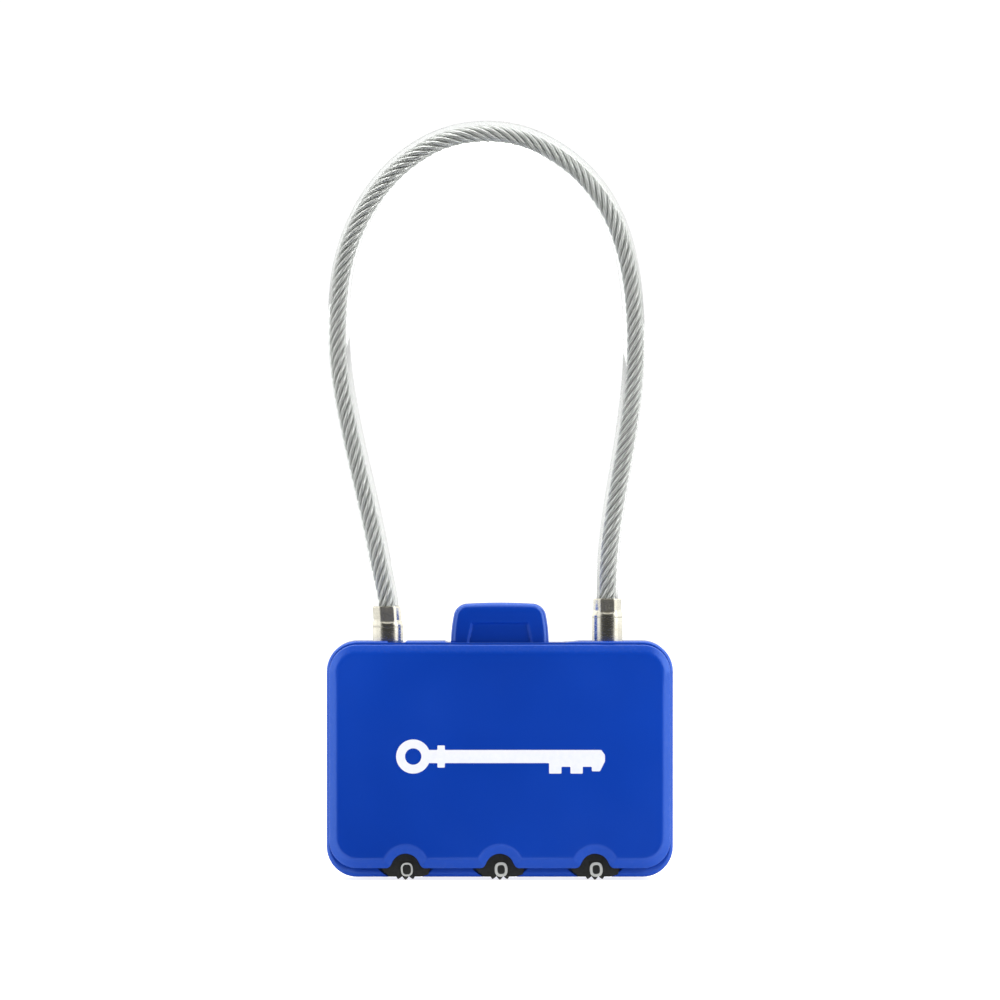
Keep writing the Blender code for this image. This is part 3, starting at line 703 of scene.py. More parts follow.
def bare_metal(name, colour, stained, rough_low, rough_high, stretch, scale):
    """Plain metal: rolling or turning grain along the stretch, stains, hair scratches."""
    made, tree, shader, place, _ = start_finish(name, colour)
    drawn = new_node(tree, "ShaderNodeMapping", Vector=place, Scale=stretch)
    grain = use_group(tree, GRAIN, Vector=drawn.outputs["Vector"], Scale=scale, Fineness=3.0, Specks=0.7)
    marks = use_group(tree, MARKS, Vector=place, Worn=0.6, Patches=1300.0, Smudges=350.0, Scratches=800.0)
    shade = mixed(tree, spread(tree, grain["Height"], 0.4, 0.9, 0.0, 0.7), colour, stained)
    shade = tinged(tree, shade, marks["Smudge"], 0.35, stained)
    rough = spread(tree, grain["Height"], 0.4, 0.9, rough_low, rough_high)
    rough = raised(tree, rough, marks["Scratch"], 0.12)
    feed(
        tree, shader, Base_Color=shade, Metallic=1.0, Roughness=rough,
        Normal=bumped(tree, grain["Height"], 0.003, 0.5),
    )
    return made


def clear_vinyl():
    """Clear soft vinyl: a little haze and handling marks, and painted shade where it is seen edge on: a
    greyer colour along the sheath's edges, which also stands for the longer path through the vinyl there.
    """
    made, tree, shader, place, _ = start_finish("clear_sheath", (0.86, 0.88, 0.87))
    haze = use_group(tree, GRAIN, Vector=place, Scale=700.0, Fineness=3.0, Specks=0.7)
    marks = use_group(tree, MARKS, Vector=place, Worn=0.0, Patches=900.0, Smudges=250.0, Scratches=500.0)
    cloudy = spread(tree, haze["Height"], 0.4, 0.9, 0.0, 1.0)
    haze_and_edge_shade = mixed(tree, cloudy, (0.965, 0.975, 0.965), (0.94, 0.955, 0.945))
    # Painted shade: the colour turns greyer where the surface is seen edge on, darkening the sheath's edges.
    rim = new_node(tree, "ShaderNodeLayerWeight", Blend=0.5).outputs["Facing"]
    haze_and_edge_shade = mixed(tree, spread(tree, rim, 0.15, 0.5, 0.0, 1.0), haze_and_edge_shade, (0.79, 0.815, 0.79))
    rough = spread(tree, marks["Smudge"], 0.0, 1.0, 0.02, 0.07)
    feed(
        tree, shader, Base_Color=haze_and_edge_shade, Roughness=rough, Transmission_Weight=1.0, IOR=1.46,
        Normal=bumped(tree, haze["Height"], 0.004, 0.4),
    )
    return made


def rope_wire():
    """Galvanised rope wire, mottled, with painted light: a painted highlight on the crest of each wire and
    painted shade in the valleys between them.
    """
    made, tree, shader, place, wear_and_light = start_finish("wire_rope", (0.6, 0.61, 0.6))
    mottle = use_group(tree, GRAIN, Vector=place, Scale=1500.0, Fineness=4.0, Specks=0.66)
    # Painted highlight and painted shade: near white where the mask is high on the lit wire crests, dark grey
    # in the shaded valleys and on the core.
    crown_light_valley_shade = spread(tree, wear_and_light, 0.15, 0.85, 0.0, 1.0)
    colour = mixed(tree, crown_light_valley_shade, (0.27, 0.285, 0.265), (0.99, 1.0, 0.98))
    dull = spread(tree, mottle["Height"], 0.5, 0.85, 0.0, 0.35)
    colour = mixed(tree, dull, colour, (0.68, 0.695, 0.665))
    rough = spread(tree, mottle["Height"], 0.4, 0.9, 0.16, 0.28)
    feed(
        tree, shader, Base_Color=colour, Metallic=0.3, Roughness=rough,
        Normal=bumped(tree, mottle["Height"], 0.006, 0.5),
    )
    return made


# ---------------------------------------------------------------- cable

def length_so_far(line):
    """The length of a line of points from its start up to each point."""
    return np.concatenate(([0.0], np.cumsum(np.linalg.norm(np.diff(line, axis=0), axis=1))))


def smooth_route(count):
    """Evenly spaced points (count, 2) on a natural cubic spline through the route, in metres.

    The bends at the route's points solve the three-term equations that make the slope run on smoothly. The
    spline is read finely, and then evenly by length.
    """
    knots = np.array(CABLE_ROUTE)
    along = length_so_far(knots)
    spans = np.linalg.norm(np.diff(knots, axis=0), axis=1)
    size = len(knots)
    matrix = np.eye(size)
    inner = np.arange(1, size - 1)
    matrix[inner, inner - 1] = spans[:-1]
    matrix[inner, inner] = 2.0 * (spans[:-1] + spans[1:])
    matrix[inner, inner + 1] = spans[1:]
    slopes = np.diff(knots, axis=0) / spans[:, None]
    right = np.zeros((size, 2))
    right[1:-1] = 6.0 * np.diff(slopes, axis=0)
    bend = np.linalg.solve(matrix, right)
    fine = np.linspace(0.0, along[-1], 4000)
    k = np.clip(np.searchsorted(along, fine, side="right") - 1, 0, size - 2)
    h = spans[k][:, None]
    u = ((along[k + 1] - fine) / spans[k])[:, None]
    v = 1.0 - u
    straight = u * knots[k] + v * knots[k + 1]
    line = straight + ((u**3 - u) * bend[k] + (v**3 - v) * bend[k + 1]) * h * h / 6.0
    run = length_so_far(line)
    even = np.linspace(0.0, run[-1], count)
    return np.stack([np.interp(even, run, part) for part in line.T], axis=-1)


def route_frame(count):
    """Centre points, outward directions and lengths so far along the cable, in millimetres.

    Outward is the route's direction turned a quarter left in its plane, so it points out of the loop.
    """
    line = smooth_route(count) / MM
    ahead = np.gradient(line, axis=0)
    ahead /= np.linalg.norm(ahead, axis=1, keepdims=True)
    outward = np.stack((-ahead[:, 1], ahead[:, 0]), axis=-1)
    return line, outward, length_so_far(line)


def tube_points(line, outward, radius, angle):
    """Rings about the line: outward by radius times cosine, and to the front by radius times sine."""
    flat = line[:, None, :] + outward[:, None, :] * (radius * np.cos(angle))[..., None]
    front = np.broadcast_to(-radius * np.sin(angle), flat.shape[:2])
    return np.stack((flat[..., 0], front, flat[..., 1]), axis=-1)


def make_sheath(finish):
    """Solid vinyl pressed round the rope: rings about the route, closed at the ends."""
    line, outward, _ = route_frame(400)
    points = tube_points(line, outward, CABLE_RADIUS, full_turn(48))
    return make_piece("cable_sheath_skin", [patch(points, around=True, caps=True)], finish, sharp=60.0)


def rope_line(count):
    """The rope's own centre line, which wanders off the sheath's: outwards on the flanks, inwards on top.

    The offset is read from straight lines between a few places along the cable, evened out by a running
    mean with soft ends. It stays within the sheath's wall.
    """
    line, outward, run = route_frame(count)
    share = run / run[-1]
    places = (0.0, 0.05, 0.22, 0.38, 0.5, 0.62, 0.75, 0.93, 1.0)
    offsets = (0.0, 0.12, 0.17, -0.1, -0.19, -0.12, 0.16, 0.05, 0.0)
    fine = np.linspace(0.0, 1.0, 400)
    reach = 30
    window = np.hanning(2 * reach + 1)
    padded = np.pad(np.interp(fine, places, offsets), reach, mode="edge")
    offset = np.interp(share, fine, np.convolve(padded, window / window.sum(), mode="valid"))
    return line + outward * offset[:, None], outward, run


def make_rope(finish):
    """Six strands laid round a core, each of six wires.

    A strand's centre runs round the rope's line on a circle, one turn in each strand lay. Its section is a
    circle with a swell over each wire, and the swells turn the other way, once in each wire lay.
    """
    line, outward, run = rope_line(560)
    around = full_turn(24)
    patches = []
    for strand in range(STRANDS):
        turn = math.tau * (run / STRAND_LAY + strand / STRANDS)
        middle = line + outward * (STRAND_CIRCLE * np.cos(turn))[:, None]
        depth = -STRAND_CIRCLE * np.sin(turn)
        twist = around + (math.tau * run / WIRE_LAY)[:, None]
        swell = np.abs(np.cos(WIRES / 2 * twist))
        radius = STRAND_RADIUS * (0.84 + 0.19 * swell)
        points = tube_points(middle, outward, radius, around)
        points[..., 1] += depth[:, None]
        # Mask of painted light: highest on the wire swells on each strand's outward side, where light falls,
        # and nothing in the shaded valleys; the core has none and takes the dark valley colour.
        outer = np.cos(around - turn[:, None]) * 0.5 + 0.5
        patches.append(patch(points, around=True, caps=True, wear_and_light=swell * (0.35 + 0.65 * outer)))
    core = tube_points(line, outward, STRAND_RADIUS, full_turn(10))
    patches.append(patch(core, around=True, caps=True))
    return make_piece("wire_rope_strands", patches, finish, sharp=80.0)


# ---------------------------------------------------------------- cable ends

def make_stem(name, x, inside, collar_top, finish):
    """Turned stem: its profile from the tip inside the case up to the collar, with broken edges."""
    profile = [
        (0.3, inside[0][1]),
        *inside,
        (STEM_RADIUS, SHOULDER),
        (COLLAR_RADIUS - 0.02, SHOULDER),
        (COLLAR_RADIUS, SHOULDER + 0.1),
        (COLLAR_RADIUS, collar_top),
        (SLEEVE_BORE, collar_top),
    ]
    return make_piece(name, [turned_solid((x, 0.0), softened(profile, 0.03), upright=True)], finish)


def make_sleeve(name, x, low, high, lean, finish):
    """Sleeve pressed on the cable from the front and the back.

    The radius is the sleeve's own, or less where a flat cuts it: the flat's distance over the cosine of the
    angle from its middle. The flat fades out towards a round lower end, and a shallow groove follows that.
    The foot widens to the collar that it sits on, and the sleeve leans a little with the cable.
    """
    angle = full_turn(SLEEVE_SIDES)
    z = np.linspace(low + 0.02, high - SLEEVE_EDGE, 60)[:, None] + 0.0 * angle
    foot = eased((low + 0.95 - z) / 0.8)
    radius = SLEEVE_RADIUS + (COLLAR_RADIUS - SLEEVE_RADIUS) * foot
    wear_and_light = np.zeros_like(radius)
    for front in (-math.pi / 2, math.pi / 2):
        off = np.arctan2(np.sin(angle - front), np.cos(angle - front))
        side = SLEEVE_RADIUS * np.sin(np.clip(off, -1.5, 1.5))
        facing = np.cos(off) > 0.2
        flat = (SLEEVE_RADIUS - FLAT_DEPTH) / np.maximum(np.cos(off), 0.2)
        arch = 1.0 - np.sqrt(np.clip(1.0 - (side / ARCH_HALF_WIDTH) ** 2, 0.0, 1.0))
        floor = low + ARCH_FOOT + ARCH_HEIGHT * arch
        rise = eased((z - floor) / 0.2)
        pressed = np.where(facing, np.minimum(radius, flat), radius)
        radius = radius + (pressed - radius) * rise
        groove = np.exp(-(((z - floor) / 0.07) ** 2)) * np.clip(1.0 - np.abs(side), 0.0, 1.0)
        radius = radius - np.where(facing, 0.02 * groove, 0.0)
        wear_and_light = np.maximum(wear_and_light, np.where(facing, rise * (np.abs(side) < 0.8), 0.0))
    skin = np.stack((x + radius * np.cos(angle), radius * np.sin(angle), z), axis=-1)
    under = [(SLEEVE_BORE, low), (SLEEVE_RADIUS - SLEEVE_EDGE, low), (COLLAR_RADIUS - 0.03, low)]
    below = turned((x, 0.0), under, True, SLEEVE_SIDES)
    rim = radius[-1:] - np.array([[0.04], [SLEEVE_EDGE]])
    tops = np.array([[high - 0.04], [high]]) + 0.0 * angle
    above = np.stack((x + rim * np.cos(angle), rim * np.sin(angle), tops), axis=-1)
    mouth = [(SLEEVE_BORE + 0.06, high), (SLEEVE_BORE, high - 0.08)]
    bore = turned((x, 0.0), mouth, True, SLEEVE_SIDES)
    rows = np.concatenate((below, skin, above, bore))
    rows[:, :, 0] += lean * (rows[:, :, 2] - low)
    mask = np.pad(np.concatenate((wear_and_light, wear_and_light[-1:], wear_and_light[-1:])), ((len(below), len(bore)), (0, 0)))
    return make_piece(name, [patch(rows, around=True, over=True, wear_and_light=mask)], finish, sharp=50.0)


# ---------------------------------------------------------------- cover and case

def rounded_distance(x, z, half_width, low, high, corner):
    """How far a point lies inside a rectangle with round corners."""
    across = np.abs(x) - (half_width - corner)
    up = np.abs(z - (low + high) / 2) - ((high - low) / 2 - corner)
    outside = np.hypot(np.maximum(across, 0.0), np.maximum(up, 0.0))
    return corner - outside - np.minimum(np.maximum(across, up), 0.0)


def softly_joined(first, second, radius):
    """Distance to the nearer of two outlines, where the corner between them is rounded to radius."""
    short = np.hypot(np.maximum(radius - first, 0.0), np.maximum(radius - second, 0.0))
    return np.maximum(radius, np.minimum(first, second)) - short


def cover_distance(x, z):
    """How far a point lies inside the cover's outline with its three arched windows."""
    distance = rounded_distance(x, z, COVER_HALF_WIDTH, COVER_LOW, COVER_HIGH, COVER_CORNER)
    for centre in WHEEL_X:
        arch = np.hypot(x - centre, z - COVER_LOW) - WINDOW_RADIUS
        distance = softly_joined(distance, arch, WINDOW_FILLET)
    return distance


def bevel_fall(distance):
    """How far the bevel lies behind the face at a distance from the edge.

    It falls in proportion to how far the point is inside the bevel's width, eased at the face, and a
    quarter circle rounds the edge itself.
    """
    inside = BEVEL_WIDTH - distance
    slope = BEVEL_FALL / BEVEL_WIDTH * 0.5 * (inside + np.sqrt(inside**2 + BEVEL_EASE**2))
    near = np.clip(BEVEL_EDGE - distance, 0.0, BEVEL_EDGE)
    return slope + BEVEL_EDGE - np.sqrt(BEVEL_EDGE**2 - near**2)


def cover_columns():
    """The x of each column, closer together at the windows and, by angle, in the corners."""
    angle = np.radians(np.linspace(90.0, 0.0, 26))
    left = -(COVER_HALF_WIDTH - COVER_CORNER) - COVER_CORNER * np.sin(angle)
    stretches = [left]
    start = left[-1]
    for centre in WHEEL_X:
        stretches.append(np.linspace(start, centre - WINDOW_REACH, 9)[1:])
        stretches.append(np.linspace(centre - WINDOW_REACH, centre + WINDOW_REACH, 81)[1:])
        start = centre + WINDOW_REACH
    stretches.append(np.linspace(start, -left[-1], 9)[1:])
    stretches.append(-left[::-1][1:])
    return np.concatenate(stretches)


def cover_rows():
    """Heights from 0 to 1 between the lower and upper edge, closer together in the bevels."""
    height = COVER_HIGH - COVER_LOW
    first = 0.3 * (1.0 - np.cos(np.linspace(0.0, math.pi / 2, 14)))
    low = np.concatenate((first, np.linspace(0.3, 1.9, 21)[1:], np.linspace(1.9, 4.0, 13)[1:]))
    high = height - np.concatenate((np.linspace(1.9, 0.3, 13), first[::-1][1:]))
    middle = np.linspace(low[-1], high[0], 18)[1:-1]
    return np.concatenate((low, middle, high)) / height


def edge_of_cover(x, start, towards):
    """The height where the column at x meets the outline, found by halving the span between two heights."""
    out = np.full_like(x, start)
    into = np.full_like(x, towards)
    for _ in range(50):
        half = (out + into) / 2
        inside = cover_distance(x, half) > 0.0
        into = np.where(inside, half, into)
        out = np.where(inside, out, half)
    return into


def make_cover(finish):
    """Front shell as two height fields over one grid, joined by a wall round their edges.

    The front lies at the cover's depth plus the bevel's fall at each point's distance from the outline.
    The inside is flat, with a rim along the outline that comes back to the parting line, and four posts.
    """
    column = cover_columns()
    middle = (COVER_LOW + COVER_HIGH) / 2
    inner = np.clip(column, -COVER_HALF_WIDTH + 1e-6, COVER_HALF_WIDTH - 1e-6)
    low = edge_of_cover(inner, COVER_LOW - 0.5, middle)
    high = edge_of_cover(inner, COVER_HIGH + 0.5, middle)
    z = low + (high - low) * cover_rows()[:, None]
    x = column + 0.0 * z
    distance = np.maximum(cover_distance(x, z), 0.0)
    deep_inside = 6.0
    front = COVER_FRONT + bevel_fall(distance) - bevel_fall(deep_inside)
    rim = rounded_distance(x, z, COVER_HALF_WIDTH, COVER_LOW, COVER_HIGH, COVER_CORNER)
    on_rim = np.clip((COVER_RIM + 0.1 - rim) / 0.1, 0.0, 1.0)
    back = COVER_INSIDE + (COVER_PARTING - COVER_INSIDE) * on_rim
    # Mask of painted highlight and wear: a lighter band painted over the whole bevel, where light falls on
    # it, with more at the very edge, where the lacquer also wears thin.
    on_bevel = np.clip((BEVEL_WIDTH + 0.1 - distance) / 0.3, 0.0, 1.0)
    wear_and_light = np.exp(-((distance / 0.25) ** 2)) * 0.3 + 0.5 * on_bevel
    face = np.stack((x, front, z), axis=-1)
    inside = np.stack((x, back, z), axis=-1)
    wall = np.stack([edge_loop(grid) for grid in (face, inside)])
    patches = [patch(face, wear_and_light=wear_and_light), patch(inside), patch(wall, around=True)]
    for place in SCREW_PLACES:
        profile = [(0.55, 0.5), (0.9, 0.5), (0.98, COVER_INSIDE - 0.3), (0.55, COVER_INSIDE - 0.3)]
        patches.append(turned_ring(place, profile, 32))
    return make_piece("cover_shell", patches, finish, sharp=40.0)


def case_cutters(finish):
    """Shapes cut out of the case: wheel rooms, stem holes, the top's dips, the handle's slot, screw seats."""
    shapes = {}
    radius = WHEEL_TIP + WHEEL_GAP
    room = [(radius, CASE_FRONT - 0.6), (radius, WHEEL_BACK + 0.3)]
    for i, x in enumerate(WHEEL_X, 1):
        shapes[f"wheel_room_{i}"] = turned_solid((x, WHEEL_Z), room, False, 64)
    low = CASE_HIGH - DIP
    high = CASE_HIGH + DIP_ABOVE
    bore = STEM_RADIUS + 0.1
    seat = COLLAR_RADIUS + 0.05
    hole = [(bore, 27.2), (bore, low), (seat, low + 0.001), (seat, high)]
    for i, x in enumerate((FIXED_X, PLUG_X), 1):
        shapes[f"stem_hole_{i}"] = turned_solid((x, 0.0), hole, True, 64)
    notch = [(FIXED_X, high), (FIXED_X, low), (-11.55, low), (-11.35, CASE_HIGH - 0.03), (-11.2, high)]
    shapes["stem_notch"] = extruded(softened(notch, 0.1), DIP_FRONT, CASE_BACK + 0.2)
    dip = [
        (-6.85, high), (-6.7, CASE_HIGH - 0.03), (-6.5, low),
        (7.8, low), (9.9, CASE_HIGH + 0.002), (10.0, high),
    ]
    shapes["handle_dip"] = extruded(softened(dip, 0.3), DIP_FRONT, CASE_BACK + 0.2)
    slot = outline_ring(SLOT_HALF_LENGTH, -SLOT_HALF_DEPTH, SLOT_HALF_DEPTH, 0.5, 6) + (SLOT_MIDDLE, 0.0)
    opening = np.stack([np.insert(slot, 2, z, axis=1) for z in (27.0, 30.0)])
    shapes["handle_slot"] = patch(opening, around=True, caps=True)
    mouth = [(0.97, 5.4), (0.97, 5.93), (1.1, CASE_BACK + 0.02), (1.1, CASE_BACK + 0.5)]
    for i, place in enumerate(SCREW_PLACES, 1):
        shapes[f"screw_seat_{i}"] = turned_solid(place, [(0.6, 0.0), (0.6, 5.4), *mouth], False, 48)
    return [make_piece(name, [shape], finish) for name, shape in shapes.items()]


def make_case(finish):
    """Rear shell: rings of the outline, each with its inset and depth, less the shapes cut out of it.

    The rings go from the floor out over the wall's front edge and back, and a quarter circle of insets and
    depths rounds the front edge and the back edge.
    """
    bend = np.linspace(0.0, math.pi / 2, 9)
    line = [
        (CASE_WALL + 0.5, CASE_FLOOR),
        (CASE_WALL + 0.15, CASE_FLOOR - 0.15),
        (CASE_WALL, CASE_FLOOR - 0.5),
        (CASE_WALL, CASE_FRONT + 0.1),
        (CASE_WALL - 0.1, CASE_FRONT),
    ]
    # The mask peaks in the middle of the front and the back rounding: a painted highlight streak along each
    # rounding, where the lacquer also wears.
    edge = np.concatenate((np.zeros(len(line)), np.sin(2 * bend), np.sin(2 * bend)))[:, None]
    line += list(zip(RIM_ROUND * (1 - np.sin(bend)), CASE_FRONT + RIM_ROUND * (1 - np.cos(bend))))
    line += list(zip(BACK_ROUND * (1 - np.cos(bend)), CASE_BACK - BACK_ROUND * (1 - np.sin(bend))))
    rows = np.stack([case_ring(inset, y) for inset, y in line])
    case = make_piece("case_shell", [patch(rows, around=True, caps=True, wear_and_light=0.8 * edge)], finish)
    carve(case, case_cutters(finish), sharp=32.0)
    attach(case, "case")
    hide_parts("rear_case")


def make_case_fittings(finish):
    """Bosses, posts, rests and spring lug on the case's floor: turned profiles with a fillet at the foot."""
    foot = CASE_FLOOR + 0.1
    patches = []
    boss = [(0.62, 0.6), (1.1, 0.6), (1.15, 4.3), (1.6, foot), (0.62, foot)]
    for place in SCREW_PLACES:
        patches.append(turned_ring(place, softened(boss, 0.15), 32))
    post = [(0.72, 1.3), (1.9, 1.3), (1.95, 4.2), (2.4, foot), (0.72, foot)]
    for x in WHEEL_X:
        patches.append(turned_ring((x, WHEEL_Z), softened(post, 0.15), 40))
    for place, radius, front in (
        ((-7.3, 9.1), 0.5, -2.1),
        ((4.2, 9.1), 0.5, -2.1),
        ((-12.0, 13.0), 1.2, 0.5),
        ((12.0, 13.0), 1.2, 0.5),
    ):
        rest = [(0.05, front), (radius - 0.1, front), (radius, front + 0.1)]
        patches.append(turned_solid(place, [*rest, (radius, 4.4), (radius + 0.4, foot)], False, 32))
    spring_lug = ((2.4, -0.6, SPRING_Z - 1.0), (3.6, foot, SPRING_Z + 1.0))
    patches.append(box_patch(*spring_lug))
    fittings = make_piece("case_fittings", patches, finish)
    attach(fittings, "case")


# ---------------------------------------------------------------- handle

def handle_side(z):
    """Half the handle's width at the height z, before its corners are rounded."""
    return HANDLE_BASE + (HANDLE_TOP_HALF - HANDLE_BASE) * ((z - HANDLE_LOW) / (HANDLE_TOP - HANDLE_LOW)) ** 2


def make_handle(finish):
    """Suitcase handle as two height fields joined by a wall, on its neck, flange and foot.

    A row's half width follows the slanted side, less the round of the top corners. Each face lies at the
    handle's depth, falls off over a wide round along its outline, and is pressed in over a panel.
    """
    height = HANDLE_TOP - HANDLE_LOW
    shoulder = HANDLE_TOP - HANDLE_CORNER
    bend = np.linspace(0.0, math.pi / 2, 16)
    round_part = HANDLE_TOP - HANDLE_CORNER * (1 - np.sin(bend))
    z = np.concatenate((np.linspace(HANDLE_LOW, shoulder, 42)[:-1], round_part))
    over = np.maximum(z - shoulder, 0.0)
    half = handle_side(z) - HANDLE_CORNER + np.sqrt(np.clip(HANDLE_CORNER**2 - over**2, 0.0, None))
    even = np.linspace(-1.0, 1.0, 97)[None, :]
    u = 0.55 * np.sin(even * math.pi / 2) + 0.45 * even
    x = half[:, None] * u
    level = z[:, None] + 0.0 * u
    across = np.abs(x) - (handle_side(level) - HANDLE_CORNER)
    up = level - shoulder
    outside = np.hypot(np.maximum(across, 0.0), np.maximum(up, 0.0))
    distance = np.maximum(HANDLE_CORNER - outside - np.minimum(np.maximum(across, up), 0.0), 0.0)
    near = np.clip(HANDLE_ROUND - distance, 0.0, HANDLE_ROUND)
    fall = HANDLE_FALL * (HANDLE_ROUND - np.sqrt(np.maximum(HANDLE_ROUND**2 - near**2, 0.0)))
    panel_half = PANEL_HALF - 0.45 * (level - PANEL_LOW) / 2.05
    into = np.minimum(panel_half - np.abs(x), PANEL_HIGH - level)
    depth = HANDLE_HALF_DEPTH - fall - PANEL_DEPTH * eased(into / 0.3 + 0.5)
    crown = HANDLE_CROWN * ((level - HANDLE_LOW) / height * (1 - u**2) - 1)
    # Mask of painted highlight and wear: light lines painted along the panel's edge and along the outline's
    # rounding, and a little over the side wall.
    lip_wear_and_highlight = np.exp(-((into / 0.25) ** 2)) * 0.5 + np.exp(-((distance / 0.35) ** 2)) * 0.7
    patches = []
    loops = []
    for side in (-1, 1):
        grid = np.stack((x, side * depth, level + crown), axis=-1)
        grid[0, :, 2] = HANDLE_LOW
        patches.append(patch(grid, wear_and_light=lip_wear_and_highlight))
        loops.append(edge_loop(grid))
    patches.append(patch(np.stack(loops), around=True, wear_and_light=0.3))
    neck = ((-6.0, -1.4, 27.4), (6.0, 1.4, HANDLE_LOW + 0.3))
    flange = ((-7.2, -2.6, 27.05), (7.2, 2.6, 27.85))
    foot = ((-4.0, -1.55, 20.9), (4.0, -0.5, 27.3))
    patches += [box_patch(*block) for block in (neck, flange, foot)]
    handle = make_piece("release_handle_shell", patches, finish, sharp=48.0)
    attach(handle, "slider")
    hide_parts("release_handle")


# ---------------------------------------------------------------- wheels

def make_wheel(i, x, finish):
    """Toothed wheel: a profile of insets and depths carried round, where the outer rows follow the teeth.

    A tooth's radius falls from the tip to the root in proportion to the angle from the tip, the tip eased.
    """
    per_tooth = 10
    steps = WHEEL_TEETH * per_tooth
    angle = full_turn(steps) - math.pi / 2
    phase = np.abs((np.arange(steps) + per_tooth / 2) % per_tooth - per_tooth / 2) / (per_tooth / 2)
    tooth = np.clip(1.08 * (1 - phase) - 0.02, 0.0, 0.97)[None, :]
    outer = WHEEL_ROOT + (WHEEL_TIP - WHEEL_ROOT) * tooth
    front, back = WHEEL_FRONT, WHEEL_BACK
    rows = [
        (WHEEL_BORE, back - 0.05),
        (WHEEL_BORE + 0.05, back),
        (outer - WHEEL_CHAMFER, back),
        (outer, back - WHEEL_CHAMFER),
        (outer, front + WHEEL_CHAMFER),
        (outer - 0.35 * WHEEL_CHAMFER, front + 0.3 * WHEEL_CHAMFER),
        (outer - WHEEL_CHAMFER, front),
        (2.14, front),
        (2.06, front + 0.05),
        (1.5, front + 0.05),
        (WHEEL_BORE + 0.05, front + 0.05),
        (WHEEL_BORE, front + 0.1),
    ]
    rings = [
        np.concatenate((x + r * np.cos(angle), y + 0.0 * angle, WHEEL_Z + r * np.sin(angle))) for r, y in rows
    ]
    points = np.stack(rings).transpose(0, 2, 1)
    wear_and_light = np.zeros((len(rows), steps))
    wear_and_light[3:7] = tooth
    wheel = make_piece(f"number_wheel_{i}_body", [patch(points, around=True, over=True, wear_and_light=wear_and_light)], finish)
    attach(wheel, WHEEL_BODIES[i - 1])
    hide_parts(f"number_wheel_{i}")


# Digits as strokes through points (across, up), one wide and 1.2 high, drawn about their middle. A hook and
# a loop make the 6 and, upside down, the 9; loops as (across, up, half width, half height) make the 0 and 8.
DIGIT_HEIGHT = 1.2
STROKES = {
    1: [[(-0.28, 0.32), (0.06, 0.6), (0.06, -0.6)]],
    2: [
        [
            (-0.45, 0.26), (-0.4, 0.55), (0.0, 0.64), (0.42, 0.54), (0.46, 0.2),
            (0.1, -0.18), (-0.46, -0.6), (0.48, -0.6),
        ],
    ],
    3: [
        [(-0.45, 0.42), (-0.25, 0.63), (0.3, 0.63), (0.48, 0.35), (0.35, 0.06), (-0.05, 0.04)],
        [(-0.05, 0.04), (0.42, 0.02), (0.54, -0.3), (0.32, -0.62), (-0.28, -0.64), (-0.48, -0.42)],
    ],
    4: [[(0.26, -0.6), (0.26, 0.6), (-0.48, -0.24), (0.5, -0.24)]],
    5: [
        [
            (0.42, 0.6), (-0.36, 0.6), (-0.42, 0.06), (0.05, 0.18), (0.5, 0.04),
            (0.5, -0.45), (0.1, -0.66), (-0.3, -0.6), (-0.48, -0.42),
        ],
    ],
    7: [[(-0.46, 0.6), (0.48, 0.6), (-0.12, -0.6)]],
}
HOOK = [(0.4, 0.46), (0.16, 0.64), (-0.28, 0.6), (-0.48, 0.15), (-0.46, -0.35), (-0.25, -0.62)]
LOOP_FULL = (0.0, 0.0, 0.5, 0.6)
LOOP_HIGH = (0.0, 0.31, 0.36, 0.29)
LOOP_LOW = (0.0, -0.29, 0.45, 0.32)


def closed_loop(middle_x, middle_z, half_width, half_height):
    """A rounded loop: cosine and sine of the angle raised to a power below one, which squares the circle."""
    square = 0.75
    angle = np.linspace(0.0, math.tau, 49)
    c, s = np.cos(angle), np.sin(angle)
    x = middle_x + half_width * np.sign(c) * np.abs(c) ** square
    z = middle_z + half_height * np.sign(s) * np.abs(s) ** square
    return np.stack((x, z), axis=-1)


def rounded_stroke(points):
    """The stroke, its corners cut three times, each time at a quarter and three quarters of every side."""
    line = np.asarray(points, float)
    for _ in range(3):
        first = 0.75 * line[:-1] + 0.25 * line[1:]
        second = 0.25 * line[:-1] + 0.75 * line[1:]
        middle = np.stack((first, second), axis=1).reshape(-1, 2)
        line = np.concatenate((line[:1], middle, line[-1:]))
    return line


def digit_lines(digit):
    """The digit's strokes as smooth lines."""
    if digit == 0:
        return [closed_loop(*LOOP_FULL)]
    if digit == 8:
        return [closed_loop(*LOOP_HIGH), closed_loop(*LOOP_LOW)]
    if digit in (6, 9):
        turn = 1.0 if digit == 6 else -1.0
        return [rounded_stroke(HOOK) * turn, closed_loop(*LOOP_LOW) * turn]
    return [rounded_stroke(points) for points in STROKES[digit]]


def ribbon(line, half_width, back, front):
    """Patch of a raised stroke: a flat bar of constant width carried along the line, with closed ends."""
    closed = np.allclose(line[0], line[-1])
    if closed:
        line = line[:-1]
        ahead = np.roll(line, -1, axis=0) - np.roll(line, 1, axis=0)
    else:
        ahead = np.gradient(line, axis=0)
    ahead = ahead / np.linalg.norm(ahead, axis=1, keepdims=True)
    side = np.stack((-ahead[:, 1], ahead[:, 0]), axis=-1) * half_width
    edge = front + 0.01
    section = ((-1.0, back), (-1.0, edge), (-0.8, front), (0.8, front), (1.0, edge), (1.0, back))
    columns = [at_depth(line + side * share, y) for share, y in section]
    return patch(np.stack(columns, axis=1), around=True, over=closed, caps=not closed)


